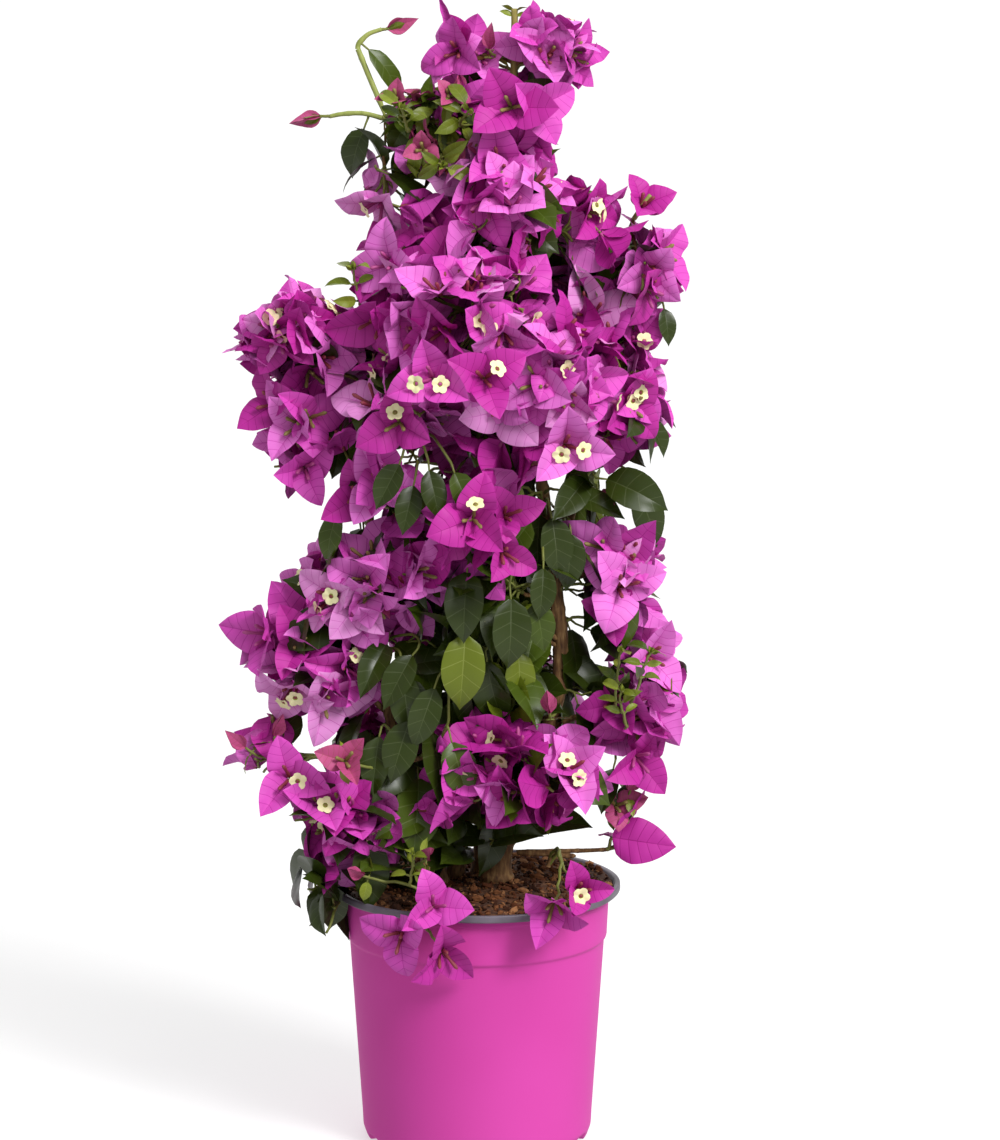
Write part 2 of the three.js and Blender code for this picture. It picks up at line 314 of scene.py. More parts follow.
def tubes(heap, lines, radii, sides, slots):
    """Round tubes along many lines at once, closed at their ends: lines (n, k, 3), radii (n, k),
    slots (n)."""
    count, steps, _ = lines.shape
    tangent = unit(np.gradient(lines, axis=1))
    chord = unit(lines[:, -1] - lines[:, 0])
    aside = np.where(np.abs(chord[:, 2:]) < 0.8, UP, np.array([1.0, 0.0, 0.0]))
    normal = unit(np.cross(tangent, aside[:, None]))
    binormal = np.cross(tangent, normal)
    turn = round_turn(sides)
    ring = normal[:, :, None] * np.cos(turn)[:, None] + binormal[:, :, None] * np.sin(turn)[:, None]
    points = lines[:, :, None] + ring * radii[:, :, None, None]
    each = steps * sides
    faces = grid_faces(steps, sides, closed=True)
    first = heap.count
    heap.add(points, repeated(faces, count, each), np.repeat(slots, len(faces)))
    ends = np.arange(sides)[None] + each - sides
    heap.cap(repeated(ends, count, each) + first, slots)


# ---------------------------------------------------------------- reading the CAD frame

def node_points(node):
    """The corners of a CAD node, as an array."""
    mesh = frame["nodes"][node].data
    points = np.empty(len(mesh.vertices) * 3)
    mesh.vertices.foreach_get("co", points)
    return points.reshape(-1, 3)


def spot(node, right, back, up):
    """A point given as shares of a node's half sizes from its middle."""
    low, high = (np.array(corner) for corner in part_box(node))
    return (low + high) / 2 + (high - low) / 2 * np.array([right, back, up])


RING_GAP = 1.3 * MM  # between the rings of a limb's skin
LONGEST_JOIN = 60 * MM  # how far a limb may be carried on to the one it grows from


def limb_line(node):
    """A CAD limb's centreline with the radius along it, read off plane cuts square to its chord."""
    mesh = frame["nodes"][node].data
    points = node_points(node)
    edges = np.empty(len(mesh.edges) * 2, np.int32)
    mesh.edges.foreach_get("vertices", edges)
    ends = points[edges.reshape(-1, 2)]
    middle = points.mean(0)
    chord = np.linalg.svd(points - middle)[2][0]
    along = (points - middle) @ chord
    length = along.max() - along.min()
    margin = min(2 * MM, 0.1 * length)
    cuts = np.linspace(along.min() + margin, along.max() - margin, max(8, int(length / (6 * MM))))
    centres, radii = [], []
    reach = (ends - middle) @ chord
    for cut in cuts:
        crossing = (reach[:, 0] - cut) * (reach[:, 1] - cut) < 0
        share = (cut - reach[crossing, 0]) / (reach[crossing, 1] - reach[crossing, 0])
        ring = ends[crossing, 0] + (ends[crossing, 1] - ends[crossing, 0]) * share[:, None]
        low, high = ring.min(0), ring.max(0)
        centres.append((low + high) / 2)
        spread = np.linalg.svd(ring - ring.mean(0), compute_uv=False)[1]
        radii.append(spread / math.sqrt(len(ring) / 2))
    line = np.hstack([np.array(centres), np.array(radii)[:, None]])
    beyond_ends = [line[0] + (line[0] - line[1]) * 0.3, line[-1] + (line[-1] - line[-2]) * 0.3]
    return np.vstack([beyond_ends[:1], line, beyond_ends[1:]])


def joined_line(line, others):
    """The line turned to start where it grows from, which is the soil or the limb nearest to one
    of its ends, and carried on into that."""
    soil_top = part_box("soil")[1].z
    if line[:, 2].min() < soil_top + 20 * MM:
        line = line[np.argsort(line[:, 2])]
        root = line[0] - np.array([0, 0, 6 * MM, 0])
        return np.vstack([root, line])
    first, last = (np.linalg.norm(others - end[:3], axis=1) for end in (line[0], line[-1]))
    if last.min() < first.min():
        line, first = line[::-1], last
    if first.min() < LONGEST_JOIN:
        line = np.vstack([[*others[first.argmin()], line[0, 3]], line])
    return line


def smooth_line(line, steps):
    """The line resampled to even steps through a running average that keeps its ends."""
    middle = (line[:-2] + 2 * line[1:-1] + line[2:]) / 4
    line = np.vstack([line[:1], middle, line[-1:]])
    travel = np.concatenate([[0], np.cumsum(np.linalg.norm(np.diff(line[:, :3], axis=0), axis=1))])
    even = np.linspace(0, travel[-1], steps)
    return np.stack([np.interp(even, travel, line[:, i]) for i in range(line.shape[1])], axis=1)


slot_of = {row["node"]: row["material_slot"] for row in frame["record"]["subparts"]}
bark_nodes = [n for n, s in slot_of.items() if s == "bark"]
shoot_nodes = [n for n, s in slot_of.items() if s == "green_shoot"]
mass_nodes = [n for n, s in slot_of.items() if s in ("bract", "leaf", "young_growth")]


# ---------------------------------------------------------------- pot and soil

POT_SIDES = 160


def rounded(points, radius, steps=4):
    """The profile with each corner of it eased by a small arc."""
    points = [np.array(p, float) for p in points]
    eased = [points[0]]
    for before, corner, after in zip(points, points[1:], points[2:]):
        back = unit(before - corner) * min(radius, np.linalg.norm(before - corner) * 0.45)
        on = unit(after - corner) * min(radius, np.linalg.norm(after - corner) * 0.45)
        for share in np.linspace(0, 1, steps):
            eased.append(corner + back * (1 - share) ** 2 + on * share ** 2)
    eased.append(points[-1])
    return eased


def make_pot():
    """The coloured pot: tapered wall, stepped collar, rounded foot with arched notches."""
    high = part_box("pot")[1]
    collar_radius, top = high.x, high.z
    collar_bottom = top * 0.82
    collar_foot = collar_radius - 1.4 * MM
    wall_top = collar_foot - 1.5 * MM
    base_radius, foot_radius = 66 * MM, 68.6 * MM
    floor_radius, floor_height = 52 * MM, 1.2 * MM
    outer = rounded([
        (0.0, floor_height), (floor_radius, floor_height), (floor_radius + 2 * MM, 0.0), (base_radius, 0.0),
        (foot_radius - 0.4 * MM, 6 * MM), (foot_radius, 14 * MM), (wall_top, collar_bottom - 1.6 * MM),
        (collar_foot, collar_bottom), (collar_radius - 0.3 * MM, top - 4.2 * MM),
        (collar_radius, top - 3.4 * MM), (collar_radius, top), (collar_radius - 1.8 * MM, top),
        (collar_radius - 2 * MM, collar_bottom),
    ], 1.0 * MM)
    outer = np.array(outer)
    dense = [outer[0]]
    for before, after in zip(outer, outer[1:]):
        steps = max(1, int(np.linalg.norm(after - before) / (3 * MM)))
        dense += [before + (after - before) * (i + 1) / steps for i in range(steps)]
    notches, notch_reach, notch_depth, notch_height = 8, 5 * MM, 2.4 * MM, 3.6 * MM

    def notched(turn, radius, height):
        arch = np.clip(np.cos(turn * notches + np.pi) * 3.2 - 2.2, 0, 1) ** 0.5
        near_foot = np.clip(1 - height / notch_reach, 0, 1) * (radius > floor_radius + 6 * MM)
        return radius - notch_depth * arch * near_foot, height + notch_height * arch * near_foot ** 2

    heap = Heap()
    lathe(heap, dense, POT_SIDES, wobble=notched)
    material, tree, shader = principled("pot_plastic")
    broad = add_noise(tree, 9, 2)
    colour = add_ramp(tree, broad, [(0.35, (210, 68, 164)), (0.7, (216, 74, 172))])
    tree.links.new(colour, shader.inputs["Base Color"])
    fine = add_noise(tree, 900, 3)
    tree.links.new(add_range(tree, broad, 0.5, 0.62), shader.inputs["Roughness"])
    add_bump(tree, shader, fine, 0.12, 0.2 * MM)
    set_inputs(shader, {"Specular IOR Level": 0.1})
    heap.piece("pot_body", [material], "pot_plastic", ["pot"])


def make_inner_pot():
    """The grey grow pot: an uneven lip that overhangs the collar, and the inside down to the soil."""
    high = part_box("inner_pot")[1]
    outer, top = high.x, high.z
    band_foot = top - 4.5 * MM
    profile = rounded([
        (outer - 8 * MM, band_foot), (outer - 0.6 * MM, band_foot), (outer, band_foot + 0.6 * MM),
        (outer - 0.2 * MM, top - 0.4 * MM), (outer - 1 * MM, top), (outer - 3 * MM, top - 0.2 * MM),
        (outer - 6 * MM, band_foot), (outer - 12 * MM, top - 8 * MM),
    ], 0.8 * MM)

    def worn(turn, radius, height):
        lift = 0.35 * MM * np.sin(turn * 3 + 0.6) + 0.2 * MM * np.sin(turn * 7 + 2)
        return radius + 0.25 * MM * np.sin(turn * 5 + 1), height - 0.3 * MM + lift * 0.6

    heap = Heap()
    lathe(heap, profile, POT_SIDES, wobble=worn)
    material = patterned_material(
        "grey_plastic", [(0.35, (84, 76, 88)), (0.65, (104, 96, 108))], 60, (0.42, 0.6), 0.25)
    heap.piece("pot_rim", [material], "grey_plastic", ["inner_pot"])


def soil_height(x, y):
    """Relief of the soil above its level, in metres."""
    broad = noise.noise(Vector((x * 40, y * 40, 1.3)))
    fine = noise.noise(Vector((x * 190, y * 190, 7.1)))
    return (broad * 2.2 + fine * 1.3) * MM


SOIL_DOME = 1.6 * MM  # how much higher the soil lies in the middle than at the rim


def make_soil():
    """Uneven peat with crumbs and bark chips lying on it."""
    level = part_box("soil")[1].z + 1.2 * MM
    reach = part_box("inner_pot")[1].x - 4.6 * MM
    rings, sides = 44, 120
    radius = np.linspace(0, reach, rings)
    turn = round_turn(sides)
    x = radius[:, None] * np.cos(turn)
    y = radius[:, None] * np.sin(turn)
    height = np.vectorize(soil_height)(x, y)
    height[0] = height[0].mean()
    dome = SOIL_DOME * (1 - (radius[:, None] / reach) ** 2)
    heap = Heap()
    heap.add(np.stack([x, y, level + height + dome], axis=-1), grid_faces(rings, sides, closed=True))
    bed = patterned_material(
        "soil_bed", [(0.3, (46, 24, 12)), (0.5, (78, 44, 22)), (0.7, (118, 76, 44))], 260, (0.8, 1.0), 0.9)
    heap.piece("soil_bed", [bed], "soil", ["soil"])
    add_chips(level, reach)


def turned_in_plane(points, angle, a, b):
    """Points (n, k, 3), each group of k turned in the plane of the axes a and b by its own angle."""
    cos, sin = np.cos(angle)[:, None], np.sin(angle)[:, None]
    turned = points.copy()
    turned[..., a] = points[..., a] * cos - points[..., b] * sin
    turned[..., b] = points[..., a] * sin + points[..., b] * cos
    return turned


def add_chips(level, reach):
    """Loose crumbs: rough little balls, stretched, tipped and spun, of four sizes and five tints."""
    tints = [(84, 46, 26), (60, 32, 18), (112, 70, 42), (142, 98, 64), (46, 24, 14)]
    count, rings, sides = 1800, 4, 6
    across = np.sqrt(rng.random(count)) * (reach - 1 * MM)
    turn = rng.random(count) * 2 * np.pi
    size = rng.choice([0.8, 1.3, 2.0, 3.0], count, p=[0.42, 0.36, 0.17, 0.05]) * MM
    pole = 0.12
    lat = np.linspace(pole, np.pi - pole, rings)[:, None]
    lon = round_turn(sides)
    ball = np.stack([np.sin(lat) * np.cos(lon), np.sin(lat) * np.sin(lon), np.cos(lat) + 0 * lon], axis=-1)
    ranges = ((0.9, 1.9), (0.5, 1.0), (0.35, 0.8))
    stretch = np.stack([rng.uniform(low, high, count) for low, high in ranges], axis=1)
    lumps = ball.reshape(1, -1, 3) * stretch[:, None] * rng.uniform(0.75, 1.25, (count, rings * sides, 1))
    spin = rng.random(count) * 2 * np.pi
    lumps = turned_in_plane(lumps, rng.normal(0, 0.35, count), 0, 2)
    lumps = turned_in_plane(lumps, spin, 0, 1)
    x, y = across * np.cos(turn), across * np.sin(turn)
    lift = level + np.vectorize(soil_height)(x, y) + SOIL_DOME * (1 - (across / reach) ** 2)
    places = np.stack([x, y, lift + size * 0.35], axis=1)
    body = grid_faces(rings, sides, closed=True)
    slots = rng.integers(0, len(tints), count)
    each = rings * sides
    lumps = lumps * size[:, None, None] + places[:, None]
    heap = Heap()
    heap.add(lumps, repeated(body, count, each), np.repeat(slots, len(body)))
    caps = np.array([np.arange(sides)[::-1], np.arange(sides) + each - sides])
    heap.cap(repeated(caps, count, each), np.repeat(slots, 2))
    finishes = [plain_material(f"soil_chip_{i}", tint, 0.95, 0.2) for i, tint in enumerate(tints)]
    piece = heap.piece("soil_chips", finishes, "soil")
    piece.data.polygons.foreach_set("use_smooth", np.zeros(len(piece.data.polygons), bool))


# ---------------------------------------------------------------- limbs

limb_lines = {}


def make_limbs():
    """Bark-covered stems, boughs and green shoots along the CAD limbs."""
    lines = {node: limb_line(node) for node in bark_nodes + shoot_nodes}
    for node, line in lines.items():
        others = np.vstack([other[:, :3] for key, other in lines.items() if key != node])
        line = joined_line(line, others)
        length = np.linalg.norm(np.diff(line[:, :3], axis=0), axis=1).sum()
        limb_lines[node] = smooth_line(line, max(10, int(length / RING_GAP)))
    for nodes, name, slot, material in (
        (bark_nodes, "limbs", "bark", bark_material()),
        (shoot_nodes, "green_shoots", "green_shoot", shoot_material()),
    ):
        heap = Heap()
        for order, node in enumerate(nodes):
            add_limb(heap, limb_lines[node], order, slot == "green_shoot")
        heap.piece(name, [material], slot, nodes)


def add_limb(heap, line, seed, green):
    """A limb's skin with long ridges in it and a swelling at each joint; young green limbs are
    smoother and plumper than bark."""
    sides, joint_gap = 14, 24 * MM
    ridge_depth, knot_height, swell = (0.04, 0.16, 1.2) if green else (0.13, 0.12, 1.0)
    travel = np.arange(len(line)) * RING_GAP
    turn = round_turn(sides)
    relief = np.empty((len(line), sides))
    for i, way in enumerate(travel):
        for j, angle in enumerate(turn):
            across = Vector((math.cos(angle) * 1.6, math.sin(angle) * 1.6, way * 70 + seed * 9.1))
            relief[i, j] = noise.noise(across * 1.0) + 0.6 * noise.noise(across * 2.7)
    knots = np.exp(-(((travel + seed * 7 * MM) % joint_gap - joint_gap / 2) / (1.6 * MM)) ** 2)
    centre, radius = line[:, :3], line[:, 3] * swell * (1 + knot_height * knots)
    tangent = unit(np.gradient(centre, axis=0))
    normal = unit(np.cross(tangent, np.array([0.3, 0.9, 0.1])))
    binormal = np.cross(tangent, normal)
    reach = radius[:, None] * (1 + ridge_depth * relief)
    ring = normal[:, None] * np.cos(turn)[:, None] + binormal[:, None] * np.sin(turn)[:, None]
    points = centre[:, None] + ring * reach[..., None]
    first = heap.count
    heap.add(points, grid_faces(len(line), sides, closed=True))
    ends = np.array([[0], [(len(line) - 1) * sides]])
    heap.cap(first + ends + np.arange(sides), 0)


def bark_material():
    """Brown ridged bark that turns tan-green towards the plant's tip."""
    material, tree, shader = principled("bark")
    brown = add_ramp(
        tree, add_noise(tree, 420, stretch=(1, 1, 0.25)),
        [(0.3, (74, 46, 24)), (0.5, (116, 82, 46)), (0.72, (158, 124, 78))])
    fresh = add_ramp(
        tree, add_noise(tree, 300, stretch=(1, 1, 0.3)), [(0.35, (116, 112, 48)), (0.65, (158, 146, 78))])
    coordinates = tree.nodes.new("ShaderNodeTexCoord")
    split = tree.nodes.new("ShaderNodeSeparateXYZ")
    tree.links.new(coordinates.outputs["Object"], split.inputs["Vector"])
    greening = add_range(tree, split.outputs["Z"], 0, 1, 0.36, 0.56)
    mix = tree.nodes.new("ShaderNodeMix")
    mix.data_type = "RGBA"
    tree.links.new(greening, mix.inputs["Factor"])
    tree.links.new(brown, mix.inputs["A"])
    tree.links.new(fresh, mix.inputs["B"])
    tree.links.new(mix.outputs["Result"], shader.inputs["Base Color"])
    set_inputs(shader, {"Roughness": 0.8})
    add_bump(tree, shader, add_noise(tree, 1400, stretch=(1, 1, 0.3)), 0.5, 0.3 * MM)
    return material


def shoot_material():
    """The green of young limbs."""
    return patterned_material(
        "green_shoot", [(0.3, (120, 132, 52)), (0.7, (160, 168, 88))], 240, (0.45, 0.65), 0.2, (1, 1, 0.3))


# ---------------------------------------------------------------- blades: bracts and leaves

class BladeGrid:
    """A blade in its own outline: chevron rows that follow the side veins, with narrow rows and a
    narrow middle column that carry the vein colour."""

    def __init__(self, veins, sweep, vein_width, rib_width, columns, broadest, point, fullness):
        lines = [0.0]
        for vein in veins:
            lines += [vein - vein_width, vein]
        lines.append(1.0)
        rows, is_vein, height = [0.0], [], [0.0]
        for start, end in zip(lines, lines[1:]):
            thin = abs((end - start) - vein_width) < 1e-9
            if not thin:
                rows.append((start + end) / 2)
                is_vein.append(False)
                height.append(1.0)
            rows.append(end)
            is_vein.append(thin)
            height.append(0.0)
        across = np.concatenate([-columns[::-1], [-rib_width, rib_width], columns])
        t, u = np.meshgrid(rows, across, indexing="ij")
        self.u = u.ravel()
        self.t = t.ravel()
        self.along = (t + sweep * np.abs(u) * t * (1 - t)).ravel()
        self.half_width = outline(self.t, broadest, point, fullness)
        self.pucker = (np.array(height)[:, None] * (1 - u * u) * (np.abs(u) > rib_width)).ravel()
        self.faces = grid_faces(*t.shape)
        column_is_rib = np.arange(len(across) - 1) == len(columns)
        self.vein = (np.array(is_vein)[:, None] | column_is_rib[None]).ravel()


def outline(t, broadest, point, fullness):
    """Half width of a pointed oval along its length, 1 at its broadest."""
    base = np.sqrt(np.clip(1 - (1 - t / broadest) ** 2, 0, 1))
    s = np.clip((t - broadest) / (1 - broadest), 0, 1)
    tip = (1 - s) ** point * (1 + fullness * s)
    return np.where(t < broadest, 0.14 + 0.86 * base, tip)


bract_grid = BladeGrid(
    veins=(0.12, 0.25, 0.39, 0.54, 0.71), sweep=0.55, vein_width=0.010, rib_width=0.022,
    columns=np.array([0.48, 1.0]), broadest=0.27, point=1.3, fullness=0.82)
leaf_grid = BladeGrid(
    veins=(0.16, 0.32, 0.5, 0.69), sweep=0.6, vein_width=0.010, rib_width=0.028,
    columns=np.array([0.5, 1.0]), broadest=0.3, point=1.9, fullness=1.9)
BEND_STEPS = 20
MOST_TRIANGLES = 160_000  # in one joined piece


def travelled(steps):
    """How far each blade has come at each step, from the steps at both ends of every stretch."""
    path = np.cumsum((steps[:, 1:] + steps[:, :-1]) / 2, axis=1)
    return np.concatenate([np.zeros((len(steps), 1)), path], axis=1)


def blade_points(grid, base, forward, face, length, width, bend, curl, fold, flare, ruffle, pucker):
    """World points of many blades. forward leaves the base, face is the upper side's normal.
    bend turns the whole blade towards its face, curl only its tip. fold raises both halves from
    the middle rib, and flare turns their edges down again."""
    count = len(base)
    side = np.cross(forward, face)
    s = np.linspace(0, 1, BEND_STEPS + 1)
    angle = bend[:, None] * s + curl[:, None] * s ** 3
    path_y = travelled(np.cos(angle) * length[:, None] / BEND_STEPS)
    path_z = travelled(np.sin(angle) * length[:, None] / BEND_STEPS)
    reach = np.clip(grid.along * BEND_STEPS, 0, BEND_STEPS - 1e-6)
    before = reach.astype(int)
    share = reach - before
    y, z, lean = (
        row[:, before] * (1 - share) + row[:, before + 1] * share for row in (path_y, path_z, angle))
    half = width[:, None] * grid.half_width / 2
    x = grid.u * half
    phase = rng.random((count, 2)) * 2 * np.pi
    lop = np.where(grid.u > 0, phase[:, :1], phase[:, 1:])
    wave = np.sin(grid.along * 10 + lop) + 0.5 * np.sin(grid.along * 19 + lop * 2)
    across = np.abs(grid.u)
    lift = half * (fold[:, None] * across - flare[:, None] * across ** 3)
    lift = lift + ruffle[:, None] * length[:, None] * wave * grid.u ** 2 * grid.half_width
    crumple = np.sin(grid.along * 13 + phase[:, :1] * 3) * np.cos(grid.u * 3.2 + phase[:, 1:] * 2)
    lift = lift + pucker[:, None] * length[:, None] * (grid.pucker + 0.6 * crumple * grid.half_width)
    flat = 1 - 0.3 * (fold[:, None] - flare[:, None]) ** 2
    y, z = y - lift * np.sin(lean), z + lift * np.cos(lean)
    return (base[:, None] + (x * flat)[..., None] * side[:, None]
            + y[..., None] * forward[:, None] + z[..., None] * face[:, None])


class Blades:
    """Bracts or leaves waiting to be meshed together, each with its tint."""

    def __init__(self, grid):
        self.grid = grid
        self.rows = []

    def add(self, base, forward, face, length, width, bend, curl, fold, flare, ruffle, pucker, tint):
        forward = unit(forward)
        face = unit(face - forward * (face @ forward))
        shape = (length, width, bend, curl, fold, flare, ruffle, pucker)
        self.rows.append((*base, *forward, *face, *shape, tint))

    def pieces(self, name, slot, finishes, nodes):
        """One joined piece for each tint, split again where it would be too large. The nodes it fills are
        hidden."""
        table = np.array(self.rows)
        each = len(self.grid.faces) * 2
        for tint, pair in enumerate(finishes):
            chosen = table[table[:, -1] == tint]
            parts = max(1, math.ceil(len(chosen) * each / MOST_TRIANGLES))
            for part, rows in enumerate(np.array_split(chosen, parts)):
                if not len(rows):
                    continue
                points = blade_points(
                    self.grid, rows[:, 0:3], rows[:, 3:6], rows[:, 6:9], *rows[:, 9:17].T)
                heap = Heap()
                slots = np.tile(self.grid.vein.astype(int), len(rows))
                heap.add(points, repeated(self.grid.faces, len(rows), len(self.grid.u)), slots)
                heap.piece(f"{name}_{tint + 1}_{part + 1}", pair, slot)
        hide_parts(*nodes)


# ---------------------------------------------------------------- growing the plant

BRACT_LIGHT, BRACT_MID, BRACT_DEEP, BRACT_DUSKY, BRACT_PALE = range(5)
LEAF_DARK, LEAF_MID, LEAF_OLIVE, LEAF_YOUNG = range(4)
TWIG_BROWN, TWIG_GREEN = range(2)
TUBE_RED, TUBE_GREEN, TUBE_PINK = range(3)
STAR_EYE, STAR_CREAM = range(2)

bracts = Blades(bract_grid)
leaves = Blades(leaf_grid)
twig_lines = []  # (points, start radius, end radius, tint)
flower_tubes = []  # (base, direction, length, open, tint)
stars = []  # (centre, direction, size)


def towards(x, y, z):
    """The unit vector in a direction."""
    return unit(np.array([x, y, z]))


def perpendicular(direction):
    """A unit vector square to direction."""
    other = UP if abs(direction[2]) < 0.8 else np.array([1.0, 0.0, 0.0])
    return unit(np.cross(direction, other))


def turned_about(direction, angle):
    """A unit vector square to direction, at that turn about it."""
    a = perpendicular(direction)
    b = np.cross(direction, a)
    return a * math.cos(angle) + b * math.sin(angle)


def swayed(direction, amount):
    """A direction a little off the one given."""
    return unit(direction + rng.normal(0, amount, 3))


def add_twig(start, leave, end, arrive, thick, thin, tint, steps=9):
    """A curved twig that leaves start and arrives at end in the given directions."""
    span = np.linalg.norm(end - start)
    s = np.linspace(0, 1, steps)[:, None]
    a, b = start + leave * span * 0.4, end - arrive * span * 0.35
    line = start * (1 - s) ** 3 + a * 3 * s * (1 - s) ** 2 + b * 3 * s ** 2 * (1 - s) + end * s ** 3
    line[1:-1] += rng.normal(0, span * 0.012, (steps - 2, 3))
    twig_lines.append((line, thick, thin, tint))
    return line


# ---- how far a point reaches out of the masses

mass_boxes = {}
mass_trees = {}

# Spaces that stay open, seen from the front, at the plant's edge and inside it: a node, the place
# from its middle as shares of its half width and half height, and the space's own half width and
# half height in millimetres.
OPENINGS = (
    ("tip_left", -1.35, 0.0, 15, 24),
    ("crown_upper_right", 0.6, 1.15, 34, 20),
    ("crown_left", -1.05, 0.45, 14, 10),
    ("wing_left_upper", -0.8, 0.8, 25, 17),
    ("wing_left_lower", -1.3, -0.8, 28, 30),
    ("wing_left_lower", 0.65, -0.85, 8, 26),
    ("mid_left", -0.85, 0.93, 40, 12),
    ("crown_low_left", -0.5, -0.85, 22, 12),
    ("crown_low_left", 1.56, 0.25, 22, 10),
    ("leaf_heart", 1.04, -0.07, 15, 24),
    ("leaf_heart", 0.64, 0.3, 8, 16),
    ("mid_right", 0.06, 0.7, 6, 13),
    ("mid_right_low", 1.4, -0.15, 20, 34),
    ("low_wing_left", 0.5, 1.15, 13, 8),
    ("low_wing_left", -0.5, 1.7, 20, 10),
    ("leaves_low_left", -2.3, 0.8, 24, 42),
    ("leaves_low_left", -0.8, -1.7, 30, 16),
)
VIEW_SLOPE = 0.17  # how much lower a point looks, from the front, for each step nearer
openings = []


def read_openings():
    """Works out where the open spaces are."""
    for node, right, up, wide, high in OPENINGS:
        middle = spot(node, right, 0, up)
        openings.append((middle[0], middle[2], wide * MM, high * MM))


def reach_into_opening(point):
    """How far a point reaches into a space that stays open, or 0."""
    height = point[2] + VIEW_SLOPE * point[1]
    deepest = 0.0
    for x, z, wide, high in openings:
        share = math.hypot((point[0] - x) / wide, (height - z) / high)
        if share < 1:
            deepest = max(deepest, (1 - share) * min(wide, high) + 4 * MM)
    return deepest


def read_masses():
    """Keeps the box and a search tree of each mass."""
    for node in (n for n in mass_nodes if n not in FEATURE_NODES):
        mesh = frame["nodes"][node].data
        corners = [v.co for v in mesh.vertices]
        mass_boxes[node] = tuple(np.array(corner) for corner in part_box(node))
        mass_trees[node] = BVHTree.FromPolygons(corners, [p.vertices for p in mesh.polygons])


def depth_outside(point, node):
    """How far the point is outside a mass, or minus how far inside."""
    place, normal, _, distance = mass_trees[node].find_nearest(Vector(point))
    return distance if (Vector(point) - place).dot(normal) > 0 else -distance


def beyond(point):
    """How far the point is outside all the masses or into an opening, or minus how deep it is in
    a mass."""
    least = 0.1
    for node, (low, high) in mass_boxes.items():
        gap = np.maximum(np.maximum(low - point, point - high), 0).max()
        if gap < least:
            least = min(least, depth_outside(point, node))
    intrusion = reach_into_opening(point)
    return max(least, intrusion + 8 * MM) if intrusion else least


def in_another(point, node):
    """True where the point lies inside another mass than node."""
    for other, (low, high) in mass_boxes.items():
        in_box = (point > low).all() and (point < high).all()
        if other != node and in_box and depth_outside(point, other) < 0:
            return True
    return False


# ---- single leaves and blooms

STAR_SIZE = 5.4 * MM


def add_leaf(start, direction, length, tint, facing=None, droop=None, width=None):
    """A leaf on its short stalk; facing is what its upper side turns to."""
    stalk = length * rng.uniform(0.16, 0.24)
    base = start + direction * stalk
    add_twig(start, direction, base, direction, 0.75 * MM, 0.6 * MM, TWIG_GREEN, 4)
    if facing is None:
        facing = unit(UP * 0.8 + direction * 0.2 + rng.normal(0, 0.35, 3))
    bend = rng.uniform(-0.9, -0.2) if droop is None else droop
    width = rng.uniform(0.48, 0.62) if width is None else width
    leaves.add(
        base, swayed(direction, 0.08), facing, length, length * width, bend,
        rng.uniform(-0.5, 0.1), rng.uniform(0.25, 0.6), rng.uniform(0, 0.3), rng.uniform(0.006, 0.016),
        0.010, tint)


def add_flower(base, axis, size, opening, bend, tint, turn=None, open_stars=0, tube_tint=None):
    """Three papery bracts round three slender tubes."""
    turn = any_turn() if turn is None else turn
    if tube_tint is None:
        tube_tint = rng.choice([TUBE_RED, TUBE_PINK, TUBE_GREEN], p=[0.45, 0.3, 0.25])
    for k in range(3):
        outward = turned_about(axis, turn + k * 2 * np.pi / 3 + rng.normal(0, 0.14))
        spread = opening + rng.normal(0, 0.1)
        forward = axis * math.cos(spread) + outward * math.sin(spread)
        face = axis * math.sin(spread) - outward * math.cos(spread)
        length = size * rng.uniform(0.92, 1.08)
        bracts.add(
            base + outward * 0.8 * MM, forward, face + rng.normal(0, 0.12, 3), length,
            length * rng.uniform(0.76, 0.92), bend + rng.normal(0, 0.2), rng.uniform(-0.9, 0.4),
            rng.uniform(0.3, 0.9), rng.uniform(0.0, 0.6), rng.uniform(0.02, 0.05), 0.024, tint)
        tilt = spread * 0.5
        along = unit(axis * math.cos(tilt) + outward * math.sin(tilt))
        reach = size * rng.uniform(0.42, 0.56)
        is_open = k < open_stars
        flower_tubes.append((base + outward * 0.9 * MM, along, reach, is_open, tube_tint))
        if is_open:
            stars.append((base + outward * 0.9 * MM + along * reach, swayed(along, 0.1), STAR_SIZE))


def add_bud(base, axis, size, tint, blades=bracts):
    """A closed young bloom: three small bracts or leaves held together to a point."""
    turn = any_turn()
    spread = 0.42
    for k in range(3):
        outward = turned_about(axis, turn + k * 2 * np.pi / 3)
        forward = axis * math.cos(spread) + outward * math.sin(spread)
        face = axis * math.sin(spread) - outward * math.cos(spread)
        blades.add(base, forward, face, size, size * 0.6, 0.75, 0.2, 0.9, 0.0, 0.006, 0.012, tint)


def fitted_bloom(base, out, size, lean, sway, slack):
    """How far a bloom's furthest tip reaches out of the masses, with its axis and turn: out of
    several tries, the one that reaches furthest inside them, or else the least far out. lean is
    the angle from the axis to the tips."""
    tries = []
    for _ in range(7):
        axis = swayed(out, sway)
        turn = any_turn()
        tips = [axis * math.cos(lean) + turned_about(axis, turn + k * 2 * np.pi / 3) * math.sin(lean)
                for k in range(3)]
        reach = max(beyond(base + tip * size) for tip in tips)
        across = max(reach_into_opening(base + tip * size * 0.55) for tip in tips)
        tries.append((max(reach, across + 8 * MM if across else reach), axis, turn))
    inside = [t for t in tries if t[0] < slack]
    return max(inside, key=lambda t: t[0]) if inside else min(tries, key=lambda t: t[0])


